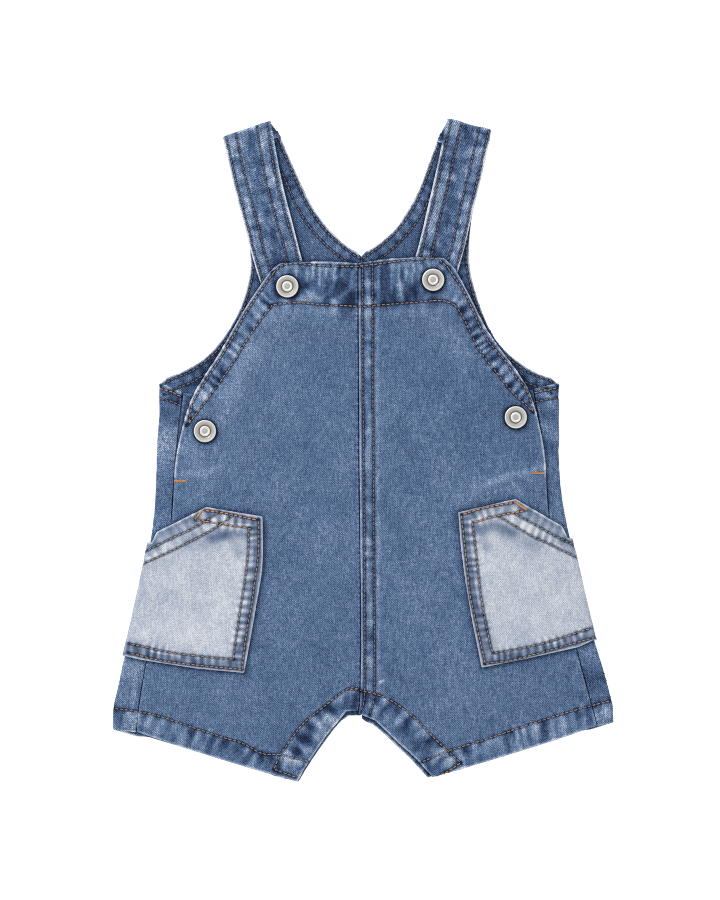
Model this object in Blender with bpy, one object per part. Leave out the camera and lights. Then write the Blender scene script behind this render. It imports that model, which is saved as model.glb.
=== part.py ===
"""Baby denim dungarees with short legs, lying face up and flat on a surface.

Sizes are in millimetres until the meshes are made. X runs to the right across the chest, Y up to the
shoulders, Z up from the surface. The pieces are laid on each other one after another: a height map
keeps the top of what already lies there, and the next piece rests on it with a small gap.
"""

import math
from collections import namedtuple

import bmesh
import bpy
import numpy as np

MM = 0.001

# Driving sizes, in millimetres
CLOTH = 1.2  # wall of one denim panel
STRAP_CLOTH = 2.0  # wall of a strap, which is a double band
GAP = 0.3  # between pieces that meet or lie on each other
SEAM_GAP = 0.4  # between the back's strip and the front, measured along a row
FOLD_ROOM = 0.5  # more room than GAP where the back turns round the side
LOFT = 1.2  # how far the belly stands off the back
BELLY_Y, BELLY_REACH = -40.0, 150.0  # where it stands highest, and how far from there it lies flat
EDGE_FADE = 12.0  # the creases die out over this part, a twelfth, of a row at each of its ends
HEM_RISE = 0.5  # what a turned hem or a facing adds to the wall
FELL_RISE = 0.7  # what the felled centre seam adds
FELL_WIDTH = 11.4
INSEAM_WIDTH = 14.0
ARM_HEM_WIDTH = 14.0  # measured along a row, across the slanted bib edge
BACK_HEM_WIDTH = 8.6
PLAIN_WIDTH = 12.0  # the band at an edge that has no hem
STEP_WIDTH = 1.5  # a raised band falls to the cloth over this width
POCKET_BEHIND = 38.0  # how far a pocket runs on behind the side fold
POCKET_OUT = 1.65  # a pocket lies this far outside the side fold
POCKET_FOLD = 3.3  # about the outer radius of its own fold there
SNAP_RADIUS = 7.6
CELL = 14.0  # the most between two rows of points
LAP_POINTS = 4  # points across an underlap, and across what a pocket has behind the side fold
COLUMNS = 6  # plain columns of points in a row, between its edge bands
FLOOR_COLUMNS = COLUMNS + 6  # and with the bands at both of its edges
ARC = (-45.0, 0.0, 45.0, 90.0)  # where a fold has points, in degrees from its outermost line
REACH, EASE = 18, 4  # how far ahead cloth starts to climb over an edge, and how softly

DENIM = (0.10, 0.17, 0.30)
PALE_DENIM = (0.46, 0.50, 0.58)
NICKEL = (0.60, 0.59, 0.56)

# What each stretch of a panel is, and what its hems add: over the whole row, and over a band at its
# inner edge (towards the middle) and at its outer edge.
Kind = namedtuple("Kind", "whole inner_width inner_rise outer_width outer_rise")
FRONT_KINDS = {
    "hem": Kind(HEM_RISE, INSEAM_WIDTH, HEM_RISE, PLAIN_WIDTH, 0.0),
    "leg": Kind(0.0, INSEAM_WIDTH, HEM_RISE, PLAIN_WIDTH, 0.0),
    "body": Kind(0.0, FELL_WIDTH, 0.0, PLAIN_WIDTH, 0.0),
    "bib": Kind(0.0, FELL_WIDTH, 0.0, ARM_HEM_WIDTH, HEM_RISE),
    "facing": Kind(HEM_RISE, FELL_WIDTH, 0.0, ARM_HEM_WIDTH, HEM_RISE),
}
BACK_KINDS = {
    "wrap": Kind(0.0, PLAIN_WIDTH, 0.0, PLAIN_WIDTH, 0.0),
    "arm": Kind(0.0, BACK_HEM_WIDTH, 0.0, BACK_HEM_WIDTH, HEM_RISE),
    "neck": Kind(0.0, BACK_HEM_WIDTH, HEM_RISE, BACK_HEM_WIDTH, HEM_RISE),
}

# The front's side seam: Y, and X on the left and on the right, from the hem to the side opening.
Seam = namedtuple("Seam", "y left right")
SIDE_SEAM = (
    Seam(-190.0, -150.0, 156.5),
    Seam(-172.0, -148.2, 152.0),
    Seam(-140.0, -143.2, 143.2),
    Seam(-100.0, -135.9, 133.9),
    Seam(-66.0, -129.4, 126.6),
    Seam(-44.0, -126.0, 122.7),
    Seam(-22.5, -125.0, 121.2),
)
OPENING_END = SIDE_SEAM[-1].y

# A row of a panel runs from its inner point to its outer point. rise lifts its middle along Y.
# outer_x is None where the row ends on the side seam.
FrontRow = namedtuple("FrontRow", "inner_x inner_y outer_x outer_y rise kind")
FRONT_LEFT = (
    FrontRow(-43.4, -218.7, None, -185.9, -1.0, "hem"),
    FrontRow(-35.4, -205.1, None, -172.3, 0.0, "hem"),
    FrontRow(-34.4, -203.7, None, -170.8, 0.0, "leg"),
    FrontRow(-25.1, -189.8, None, -158.5, 0.0, "leg"),
    FrontRow(-15.6, -178.1, None, -147.0, 1.0, "leg"),
    FrontRow(-10.9, -172.4, None, -139.7, 2.0, "leg"),
    FrontRow(-3.2, -172.0, None, -125.5, 5.0, "leg"),
    FrontRow(-2.1, -158.5, None, -108.3, 4.0, "leg"),
    FrontRow(-2.1, -157.0, None, -107.0, 4.0, "body"),
    FrontRow(-1.8, -135.4, None, -88.5, 2.0, "body"),
    FrontRow(-1.9, -96.0, None, -58.0, 1.0, "body"),
    FrontRow(-2.3, -56.2, None, -33.1, 0.0, "body"),
    FrontRow(-2.6, -31.1, None, -22.5, 0.0, "body"),
    FrontRow(-2.8, -13.3, -124.1, -11.9, 0.0, "body"),
    FrontRow(-2.9, 6.5, -121.1, 5.9, 0.0, "body"),
    FrontRow(-3.0, 18.0, -118.3, 17.5, 0.0, "body"),
    FrontRow(-3.0, 26.3, -115.8, 25.7, 0.0, "bib"),
    FrontRow(-3.2, 42.8, -109.6, 40.2, 0.0, "bib"),
    FrontRow(-3.2, 62.6, -95.7, 62.0, 0.0, "bib"),
    FrontRow(-3.4, 80.5, -85.1, 80.5, 0.0, "bib"),
    FrontRow(-3.4, 92.9, -77.3, 93.7, 0.0, "bib"),
    FrontRow(-3.4, 94.4, -76.2, 95.4, 0.0, "facing"),
    FrontRow(-3.5, 108.8, -67.0, 109.2, 0.0, "facing"),
    FrontRow(-3.5, 118.7, -61.1, 117.7, 0.5, "facing"),
    FrontRow(-3.5, 123.1, -54.8, 122.8, 1.0, "facing"),
)
FRONT_RIGHT = (
    FrontRow(45.9, -215.8, None, -181.9, -1.0, "hem"),
    FrontRow(37.0, -205.9, None, -168.4, 0.0, "hem"),
    FrontRow(35.9, -204.6, None, -167.0, 0.0, "leg"),
    FrontRow(24.4, -194.1, None, -158.5, 0.0, "leg"),
    FrontRow(15.8, -186.0, None, -150.5, 1.0, "leg"),
    FrontRow(7.8, -178.4, None, -141.3, 2.0, "leg"),
    FrontRow(-2.8, -174.0, None, -132.1, 5.0, "leg"),
    FrontRow(-1.6, -158.5, None, -114.0, 4.0, "leg"),
    FrontRow(-1.6, -157.0, None, -112.6, 4.0, "body"),
    FrontRow(-1.3, -135.4, None, -96.0, 2.0, "body"),
    FrontRow(-1.4, -96.0, None, -66.0, 1.0, "body"),
    FrontRow(-1.8, -56.2, None, -38.3, 0.0, "body"),
    FrontRow(-2.1, -31.1, None, -22.5, 0.0, "body"),
    FrontRow(-2.3, -13.3, 120.4, -11.3, 0.0, "body"),
    FrontRow(-2.4, 6.5, 118.5, 5.9, 0.0, "body"),
    FrontRow(-2.5, 18.0, 115.9, 17.5, 0.0, "body"),
    FrontRow(-2.5, 26.3, 113.9, 25.7, 0.0, "bib"),
    FrontRow(-2.7, 42.8, 107.9, 42.0, 0.0, "bib"),
    FrontRow(-2.7, 62.6, 93.4, 62.6, 0.0, "bib"),
    FrontRow(-2.9, 80.5, 80.9, 80.5, 0.0, "bib"),
    FrontRow(-2.9, 92.9, 74.2, 93.7, 0.0, "bib"),
    FrontRow(-2.9, 94.4, 73.3, 95.3, 0.0, "facing"),
    FrontRow(-3.0, 108.8, 66.0, 109.5, 0.5, "facing"),
    FrontRow(-3.0, 118.7, 60.1, 119.9, 1.0, "facing"),
    FrontRow(-3.0, 123.1, 53.5, 126.3, 1.6, "facing"),
)

# The back's rows end on the side fold or, above it, on the armhole edge. From the fold the cloth comes
# back on top as a strip: strip_x and strip_y are where it ends beside the side opening, and strip_x is
# None where it ends on the side seam.
BackRow = namedtuple("BackRow", "inner_x inner_y outer_x outer_y rise strip_x strip_y kind")
BACK_LEFT = (
    BackRow(-42.7, -218.9, -165.1, -184.4, -1.0, None, -186.0, "wrap"),
    BackRow(-34.3, -205.3, -165.4, -171.7, 0.0, None, -172.3, "wrap"),
    BackRow(-23.8, -190.5, -163.2, -162.0, 0.0, None, -162.5, "wrap"),
    BackRow(-14.5, -178.9, -160.9, -151.5, 1.0, None, -151.5, "wrap"),
    BackRow(-9.4, -175.4, -159.3, -145.3, 2.0, None, -145.5, "wrap"),
    BackRow(-1.5, -175.2, -155.9, -130.7, 5.0, None, -130.7, "wrap"),
    BackRow(-1.3, -158.5, -151.8, -112.3, 4.0, None, -112.3, "wrap"),
    BackRow(-1.3, -132.1, -147.7, -93.8, 2.0, None, -93.8, "wrap"),
    BackRow(-1.3, -96.0, -143.2, -72.7, 1.0, None, -72.7, "wrap"),
    BackRow(-1.3, -60.0, -138.9, -50.9, 0.0, None, -50.9, "wrap"),
    BackRow(-1.3, -24.0, -137.0, -22.5, 0.0, None, -22.5, "wrap"),
    BackRow(-1.3, 0.0, -136.0, 0.0, 0.0, -123.4, -0.4, "wrap"),
    BackRow(-1.3, 23.0, -134.8, 23.0, 0.0, -121.0, 22.0, "wrap"),
    BackRow(-1.3, 44.2, -134.6, 43.9, 0.0, -119.4, 37.9, "wrap"),
    BackRow(-1.3, 64.6, -120.8, 50.8, 0.0, -120.8, 50.8, "arm"),
    BackRow(-1.3, 84.4, -105.6, 59.3, 0.0, -105.6, 59.3, "arm"),
    BackRow(-1.3, 105.5, -93.1, 72.5, 0.0, -93.1, 72.5, "arm"),
    BackRow(-1.4, 127.6, -83.2, 88.4, 0.0, -83.2, 88.4, "neck"),
    BackRow(-9.2, 133.3, -77.2, 104.2, 0.0, -77.2, 104.2, "neck"),
    BackRow(-21.1, 143.8, -73.9, 122.0, 0.0, -73.9, 122.0, "neck"),
    BackRow(-32.3, 158.3, -74.9, 140.0, 0.0, -74.9, 140.0, "neck"),
    BackRow(-40.9, 175.5, -79.4, 161.6, 0.0, -79.4, 161.6, "neck"),
    BackRow(-47.5, 190.0, -84.3, 180.8, 0.0, -84.3, 180.8, "neck"),
    BackRow(-53.8, 205.6, -88.6, 197.9, 0.0, -88.6, 197.9, "neck"),
)
BACK_RIGHT = (
    BackRow(42.6, -216.2, 165.6, -179.6, -1.0, None, -182.0, "wrap"),
    BackRow(31.7, -204.3, 164.8, -167.0, 0.0, None, -168.0, "wrap"),
    BackRow(23.1, -196.1, 162.9, -159.5, 0.0, None, -160.5, "wrap"),
    BackRow(14.5, -187.8, 160.8, -151.5, 1.0, None, -152.0, "wrap"),
    BackRow(6.3, -181.1, 158.8, -144.5, 2.0, None, -144.5, "wrap"),
    BackRow(-0.7, -177.3, 153.2, -127.5, 5.0, None, -127.5, "wrap"),
    BackRow(-1.0, -158.5, 149.0, -109.6, 4.0, None, -109.6, "wrap"),
    BackRow(-1.0, -132.1, 144.9, -92.5, 2.0, None, -92.5, "wrap"),
    BackRow(-1.0, -96.0, 140.2, -72.7, 1.0, None, -72.7, "wrap"),
    BackRow(-1.0, -60.0, 134.9, -50.9, 0.0, None, -50.9, "wrap"),
    BackRow(-1.0, -24.0, 130.6, -22.5, 0.0, None, -22.5, "wrap"),
    BackRow(-1.0, 0.0, 129.4, 0.0, 0.0, 119.3, -0.4, "wrap"),
    BackRow(-1.0, 23.0, 129.4, 23.0, 0.0, 115.8, 23.0, "wrap"),
    BackRow(-1.0, 44.2, 129.4, 43.9, 0.0, 112.9, 40.2, "wrap"),
    BackRow(-1.0, 64.6, 115.5, 50.1, 0.0, 115.5, 50.1, "arm"),
    BackRow(-1.0, 84.4, 99.7, 60.0, 0.0, 99.7, 60.0, "arm"),
    BackRow(-1.0, 105.5, 87.1, 73.2, 0.0, 87.1, 73.2, "arm"),
    BackRow(-0.9, 127.6, 78.5, 91.0, 0.0, 78.5, 91.0, "neck"),
    BackRow(6.6, 133.3, 73.3, 106.9, 0.0, 73.3, 106.9, "neck"),
    BackRow(19.8, 143.8, 70.0, 124.0, 0.0, 70.0, 124.0, "neck"),
    BackRow(29.0, 157.0, 70.3, 141.2, 0.0, 70.3, 141.2, "neck"),
    BackRow(37.0, 171.5, 73.2, 161.0, 0.0, 73.2, 161.0, "neck"),
    BackRow(42.9, 187.4, 77.6, 181.0, 0.0, 77.6, 181.0, "neck"),
    BackRow(48.2, 202.2, 81.4, 199.0, 0.0, 81.4, 199.0, "neck"),
)

# A strap's rows: where it joins the back behind the shoulder, the shoulder fold, and then down the
# front to its end under the bib.
StrapRow = namedtuple("StrapRow", "outer_x outer_y inner_x inner_y")
StrapColumn = namedtuple("StrapColumn", "share drop")
STRAP_COLUMNS = (  # how far across the strap, and how much thinner it is between its turned edges
    StrapColumn(0.0, 0.0),
    StrapColumn(0.28, 0.0),
    StrapColumn(0.34, HEM_RISE),
    StrapColumn(0.66, HEM_RISE),
    StrapColumn(0.72, 0.0),
    StrapColumn(1.0, 0.0),
)
STRAP_LEFT = (
    StrapRow(-88.8, 198.4, -53.9, 206.2),
    StrapRow(-92.4, 206.6, -61.0, 217.4),
    StrapRow(-91.1, 200.6, -59.4, 209.8),
    StrapRow(-87.8, 186.1, -56.8, 194.0),
    StrapRow(-84.0, 169.6, -52.8, 174.2),
    StrapRow(-77.0, 143.8, -45.5, 145.8),
    StrapRow(-72.9, 127.3, -40.4, 126.0),
    StrapRow(-67.5, 109.5, -35.6, 108.2),
    StrapRow(-62.7, 93.7, -31.0, 93.0),
)
STRAP_RIGHT = (
    StrapRow(81.5, 199.7, 48.4, 202.9),
    StrapRow(84.7, 211.3, 55.8, 218.7),
    StrapRow(83.2, 203.6, 53.5, 208.5),
    StrapRow(79.2, 185.0, 49.5, 189.7),
    StrapRow(72.6, 157.9, 42.9, 161.0),
    StrapRow(67.3, 134.6, 37.0, 135.9),
    StrapRow(62.6, 117.8, 31.7, 117.4),
    StrapRow(58.1, 98.9, 27.1, 98.3),
)

# A pocket's rows from its bottom edge to its top edge: its inner edge, the line below the peak, the
# line below the brim of the slanted opening, and the side fold, whose X is the back's. rise is what
# the opening's turned hem adds.
PocketRow = namedtuple("PocketRow", "inner_x inner_y peak_x peak_y brim_x brim_y fold_y rise")
POCKET_LEFT = (
    PocketRow(-78.3, -146.8, -110.2, -143.9, -147.2, -138.0, -136.0, 0.0),
    PocketRow(-70.3, -102.4, -107.6, -102.4, -142.6, -106.3, -107.6, 0.0),
    PocketRow(-65.8, -70.0, -104.9, -70.0, -138.0, -83.0, -87.5, 0.0),
    PocketRow(-66.0, -54.0, -103.5, -54.8, -136.3, -70.8, -77.6, 0.0),
    PocketRow(-66.0, -52.5, -103.4, -53.3, -136.2, -69.3, -76.1, HEM_RISE),
    PocketRow(-66.2, -43.9, -103.0, -37.7, -135.6, -53.9, -60.8, HEM_RISE),
)
POCKET_RIGHT = (
    PocketRow(78.2, -143.3, 105.6, -138.0, 141.9, -129.8, -125.5, 0.0),
    PocketRow(69.7, -100.4, 103.6, -99.1, 137.3, -98.4, -99.1, 0.0),
    PocketRow(65.0, -68.0, 101.6, -66.0, 133.4, -79.0, -83.5, 0.0),
    PocketRow(63.4, -51.2, 100.8, -49.4, 131.6, -67.1, -74.9, 0.0),
    PocketRow(63.3, -49.7, 100.8, -47.9, 131.5, -65.6, -73.4, HEM_RISE),
    PocketRow(62.6, -41.1, 100.3, -32.3, 131.0, -50.2, -58.1, HEM_RISE),
)
POCKET_CELLS = (4, 4, 1)  # columns from the inner edge to the peak, to the brim and to the fold

# The underlap of each side opening: its edge beside the strip and its inner edge, from bottom to top.
LapRow = namedtuple("LapRow", "outer_x outer_y inner_x inner_y")
LAP_LEFT = (
    LapRow(-124.0, -20.5, -98.3, -22.0),
    LapRow(-122.8, 0.0, -96.5, 0.0),
    LapRow(-120.2, 22.0, -94.5, 20.0),
    LapRow(-118.5, 37.4, -93.1, 35.6),
)
LAP_RIGHT = (
    LapRow(120.0, -20.5, 94.4, -22.0),
    LapRow(118.5, 0.0, 92.5, 0.0),
    LapRow(114.9, 23.0, 90.0, 21.0),
    LapRow(112.0, 39.6, 87.8, 38.9),
)

Snap = namedtuple("Snap", "name x y")
SNAPS = (
    Snap("snap_bib_left", -49.8, 107.5),
    Snap("snap_bib_right", 46.1, 111.8),
    Snap("snap_side_left", -104.0, 12.3),
    Snap("snap_side_right", 100.5, 21.4),
)
# A snap cap's turned outline, from its crown down its outer side to its base.
Ring = namedtuple("Ring", "radius height")
SNAP_RINGS = (
    Ring(1.5, 2.35),
    Ring(2.2, 2.25),
    Ring(3.2, 2.35),
    Ring(3.8, 2.0),
    Ring(4.4, 2.0),
    Ring(6.7, 2.35),
    Ring(7.3, 2.1),
    Ring(SNAP_RADIUS, 1.5),
    Ring(7.4, 0.4),
    Ring(6.6, 0.0),
)
SNAP_SIDES = 18

# The largest soft creases of the front: a ridge from one point to the other.
Crease = namedtuple("Crease", "x1 y1 x2 y2 half_width height")
CREASES = (
    Crease(111.0, -12.0, 60.0, -38.0, 9.0, 0.9),
    Crease(-113.0, -13.0, -64.0, -40.0, 9.0, 0.8),
    Crease(-92.0, 24.0, -60.0, 88.0, 9.0, 0.7),
    Crease(90.0, 30.0, 62.0, 84.0, 9.0, 0.5),
    Crease(-28.0, -176.0, -62.0, -120.0, 12.0, 0.7),
    Crease(24.0, -176.0, 54.0, -122.0, 12.0, 0.7),
    Crease(-74.0, -198.0, -100.0, -160.0, 11.0, 0.6),
    Crease(80.0, -190.0, 104.0, -156.0, 11.0, 0.6),
)

Side = namedtuple("Side", "name sign front back strap pocket lap")
SIDES = (
    Side("left", -1, FRONT_LEFT, BACK_LEFT, STRAP_LEFT, POCKET_LEFT, LAP_LEFT),
    Side("right", 1, FRONT_RIGHT, BACK_RIGHT, STRAP_RIGHT, POCKET_RIGHT, LAP_RIGHT),
)


# ---- curves and rows -------------------------------------------------------------------------


def smooth(knots, values, at):
    """Values between the rows of a table, on a smooth curve that never overshoots them."""
    slopes = np.diff(values) / np.diff(knots)
    tangents = np.concatenate([slopes[:1], np.zeros(len(slopes) - 1), slopes[-1:]])
    for i, (before, after) in enumerate(zip(slopes, slopes[1:]), start=1):
        if before * after > 0:
            tangents[i] = 2 * before * after / (before + after)
    k = np.clip(np.searchsorted(knots, at, side="right") - 1, 0, len(slopes) - 1)
    width = knots[k + 1] - knots[k]
    t = (at - knots[k]) / width
    return (
        values[k] * (1 + 2 * t) * (1 - t) ** 2
        + tangents[k] * width * t * (1 - t) ** 2
        + values[k + 1] * t * t * (3 - 2 * t)
        - tangents[k + 1] * width * t * t * (1 - t)
    )


def filled(table, points):
    """The table's rows with smooth rows put between them, so that none of its points is more than
    CELL from the next row's. points are pairs of columns."""
    table = np.array(table, float)
    hops = [np.hypot(*np.diff(table[:, pair], axis=0).T) for pair in points]
    longest = np.max(hops, axis=0)
    knots = np.concatenate([[0.0], np.cumsum(longest)])
    at = [0.0]
    for start, hop in zip(knots, longest):
        cells = math.ceil(hop / CELL - 1e-6)
        at += [start + hop * (i + 1) / cells for i in range(cells)]
    at = np.array(at)
    return np.stack([smooth(knots, column, at) for column in table.T], axis=1)


def side_seam(sign, y):
    column = [row.left if sign < 0 else row.right for row in SIDE_SEAM]
    knots = np.array([row.y for row in SIDE_SEAM])
    return float(smooth(knots, np.array(column), np.array([y]))[0])


def across(inner, outer, rise, kind):
    """The points of one row and what its hems add at each, from its inner to its outer point."""
    length = np.hypot(*(outer - inner))
    first = kind.inner_width + STEP_WIDTH
    last = length - kind.outer_width - STEP_WIDTH
    plain = np.linspace(first, last, COLUMNS + 2)
    along = np.concatenate([[0.0, kind.inner_width], plain, [length - kind.outer_width, length]])
    share = along / length
    points = inner + share[:, None] * (outer - inner)
    points[:, 1] += 4 * rise * share * (1 - share)
    added = np.full(len(along), kind.whole)
    added[:2] += kind.inner_rise
    added[-2:] += kind.outer_rise
    return points, added


# ---- laying cloth on cloth -------------------------------------------------------------------


class Pile:
    """The top of all that lies there, on a square net of points, with GAP added to it."""

    HALF_X, HALF_Y = 180, 232  # the net's reach from the origin, with a point every millimetre

    def __init__(self):
        self.top = np.zeros((2 * self.HALF_X + 1, 2 * self.HALF_Y + 1))
        self.soft = self.top

    def lay(self, rows):
        """Adds the tops of a net of points, given in rows."""
        for a, b in zip(rows, rows[1:]):
            for j in range(min(len(a), len(b)) - 1):
                self.add_triangle(a[j], a[j + 1], b[j])
                self.add_triangle(b[j], a[j + 1], b[j + 1])

    def add_triangle(self, *corners):
        p, q, r = (np.array(c) for c in corners)
        low = np.floor(np.min([p, q, r], axis=0)[:2]).astype(int)
        high = np.ceil(np.max([p, q, r], axis=0)[:2]).astype(int)
        x, y = np.meshgrid(
            np.arange(low[0], high[0] + 1), np.arange(low[1], high[1] + 1), indexing="ij"
        )
        whole = (q[0] - p[0]) * (r[1] - p[1]) - (r[0] - p[0]) * (q[1] - p[1])
        if abs(whole) < 1e-9:
            return
        b = ((x - p[0]) * (r[1] - p[1]) - (r[0] - p[0]) * (y - p[1])) / whole
        c = ((q[0] - p[0]) * (y - p[1]) - (x - p[0]) * (q[1] - p[1])) / whole
        inside = (b > -0.02) & (c > -0.02) & (b + c < 1.02)
        z = p[2] + b * (q[2] - p[2]) + c * (r[2] - p[2]) + GAP
        ix, iy = x[inside] + self.HALF_X, y[inside] + self.HALF_Y
        np.maximum.at(self.top, (ix, iy), z[inside])

    def settle(self, reach, ease):
        """Works out the surface that cloth laid on the pile takes: the pile's highest point within
        reach, evened out over ease."""
        soft = self.top
        for axis in (0, 1):
            soft = np.max([np.roll(soft, n, axis) for n in range(-reach, reach + 1)], axis=0)
        for _ in range(2):
            for axis in (0, 1):
                turns = range(-(ease // 2), ease // 2 + 1)
                soft = np.mean([np.roll(soft, n, axis) for n in turns], axis=0)
        self.soft = soft

    def under(self, points):
        """The height at which cloth rests at each point."""
        x = np.clip(points[:, 0] + self.HALF_X, 0, 2 * self.HALF_X - 0.001)
        y = np.clip(points[:, 1] + self.HALF_Y, 0, 2 * self.HALF_Y - 0.001)
        i, j = x.astype(int), y.astype(int)
        u, v = x - i, y - j
        low = self.soft[i, j] * (1 - u) + self.soft[i + 1, j] * u
        high = self.soft[i, j + 1] * (1 - u) + self.soft[i + 1, j + 1] * u
        return low * (1 - v) + high * v


def raised(points, heights):
    return np.column_stack([points, heights])


def turned(edge, outward, low, high, wall):
    """A fold's outer and inner points: from the underside at height low round to the top side, whose
    wall starts at height high. edge is the fold's outermost point, seen from above."""
    radius = (high + wall - low) / 2
    centre = np.array([*(edge - outward * radius), low + radius])
    angles = np.radians(ARC)
    ways = np.column_stack([np.outer(np.cos(angles), outward), np.sin(angles)])
    return centre + ways * radius, centre + ways * (radius - wall), edge - outward * radius


# ---- meshes ----------------------------------------------------------------------------------


def material(name, colour, roughness, metallic):
    made = bpy.data.materials.new(name)
    made.use_nodes = True
    shader = made.node_tree.nodes["Principled BSDF"]
    shader.inputs["Base Color"].default_value = (*colour, 1.0)
    shader.inputs["Roughness"].default_value = roughness
    shader.inputs["Metallic"].default_value = metallic
    return made


def finish(name, mesh_data, stuff):
    mesh = bpy.data.meshes.new(name)
    mesh_data.to_mesh(mesh)
    mesh_data.free()
    mesh.materials.append(stuff)
    mesh.shade_smooth()
    mesh.set_sharp_from_angle(angle=math.radians(50))
    piece = bpy.data.objects.new(name, mesh)
    bpy.context.scene.collection.objects.link(piece)
    return piece


def wall(name, rows, stuff):
    """A closed wall from rows of (outside, inside) points. A row may run on past its neighbour."""
    net = bmesh.new()
    sides = []
    for side in (0, 1):
        sides.append([[net.verts.new(p * MM) for p in row[side]] for row in rows])
    for side, points in enumerate(sides):
        for a, b in zip(points, points[1:]):
            for j in range(min(len(a), len(b)) - 1):
                corners = (a[j], a[j + 1], b[j + 1], b[j])
                net.faces.new(corners if side == 0 else corners[::-1])
    twins = {out: inn for outs, inns in zip(*sides) for out, inn in zip(outs, inns)}
    edges = [e.verts for e in net.edges if len(e.link_faces) == 1]
    for p, q in edges:
        if p in twins:
            net.faces.new((p, q, twins[q], twins[p]))
    bmesh.ops.recalc_face_normals(net, faces=net.faces)
    return finish(name, net, stuff)


# ---- the pieces ------------------------------------------------------------------------------


def numbers(table, kinds):
    """A panel's table with each row's kind written out, so that all of it can be filled in."""
    return [[*row[:-1], *kinds[row.kind], float(row.kind == "wrap")] for row in table]


def pocket_under(side):
    """The part of a pocket behind the side fold, which lies on the surface below the back."""
    rows = []
    for row in filled([[0, r.fold_y] for r in side.pocket], [[0, 1]]):
        y = row[1]
        outermost = back_fold(side, y) + side.sign * POCKET_OUT
        start = outermost - side.sign * POCKET_FOLD
        x = np.linspace(start, start - side.sign * POCKET_BEHIND, LAP_POINTS)
        rows.append(np.column_stack([x, np.full(LAP_POINTS, y), np.full(LAP_POINTS, CLOTH)]))
    return rows


def back_fold(side, y):
    rows = [row for row in side.back if row.kind == "wrap"]
    return np.interp(y, [row.outer_y for row in rows], [row.outer_x for row in rows])


def back_rows(side, pile):
    """The back's rows of points, from the hem to the shoulder: along the surface and, up to the
    armhole, round the side fold and on as the strip on top."""
    table = []
    for row in side.back:
        strip_x = side_seam(side.sign, row.strip_y) if row.strip_x is None else row.strip_x
        table.append(row._replace(strip_x=strip_x))
    rows = []
    for row in filled(numbers(table, BACK_KINDS), [[0, 1], [2, 3]]):
        inner, outer, rise, strip = row[0:2], row[2:4], row[4], row[5:7]
        kind = Kind(*row[7:12])
        wraps = row[12] > 0.999
        outward = (outer - inner) / np.hypot(*(outer - inner))
        low = pile.under(outer[None])[0]
        high = low + CLOTH + GAP + FOLD_ROOM
        if wraps:
            arc_out, arc_in, end = turned(outer, outward, low, high, CLOTH)
        points, added = across(inner, end if wraps else outer, rise, kind)
        heights = pile.under(points)
        outside, inside = raised(points, heights), raised(points, heights + CLOTH + added)
        if wraps:
            on_top = np.array([(end + strip) / 2, strip])
            flat = np.full(2, high)
            outside = np.vstack([outside, arc_out, raised(on_top, flat + CLOTH)])
            inside = np.vstack([inside, arc_in, raised(on_top, flat)])
        rows.append((outside, inside))
    return rows


def lap_rows(side, pile):
    """The underlap of a side opening, which lies on the back."""
    rows = []
    for row in filled(side.lap, [[0, 1], [2, 3]]):
        outer, inner = row[0:2], row[2:4]
        line = outer + np.linspace(0, 1, LAP_POINTS)[:, None] * (inner - outer)
        heights = pile.under(line)
        rows.append((raised(line, heights + CLOTH), raised(line, heights)))
    return rows


def strap_rows(side, pile):
    """A strap: flat behind the shoulder, round the fold, and down the front on the back's inside."""
    join, fold, *down = side.strap
    shares = np.array([[column.share] for column in STRAP_COLUMNS])
    drops = np.array([column.drop for column in STRAP_COLUMNS])
    floor, top = np.zeros(len(drops)), np.full(len(drops), STRAP_CLOTH)

    def line(row):
        outer, inner = np.array(row[0:2]), np.array(row[2:4])
        return outer + shares * (inner - outer)

    behind, crest = line(join), line(fold)
    front = [line(row) for row in filled(down, [[0, 1], [2, 3]])]
    toward = crest - front[1]
    outward = toward / np.hypot(*toward.T)[:, None]
    rests = pile.under(front[0])
    high = np.maximum(rests, STRAP_CLOTH + GAP + FOLD_ROOM)
    rows = [(raised(behind, floor), raised(behind, top))]
    arcs = [
        turned(point, way, 0.0, height, STRAP_CLOTH)
        for point, way, height in zip(crest, outward, high)
    ]
    ends = np.array([arc[2] for arc in arcs])
    rows.append((raised(ends, floor), raised(ends, top)))
    for step in range(len(ARC)):
        rows.append(tuple(np.array([arc[k][step] for arc in arcs]) for k in (0, 1)))
    rows[-1][0][:, 2] -= drops
    for points in front[1:]:
        heights = pile.under(points)
        rows.append((raised(points, heights + STRAP_CLOTH - drops), raised(points, heights)))
    return rows


def creased(points):
    """What the soft creases add to the height of the front."""
    added = np.zeros(len(points))
    for crease in CREASES:
        start = np.array([crease.x1, crease.y1])
        run = np.array([crease.x2, crease.y2]) - start
        along = (points - start) @ run / (run @ run)
        near = start + np.clip(along, 0, 1)[:, None] * run
        off = np.hypot(*(points - near).T) / crease.half_width
        tapered = np.sin(np.pi * np.clip(along, 0.0, 1.0)) ** 0.5
        added += crease.height * tapered * np.exp(-off * off)
    return added


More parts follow.
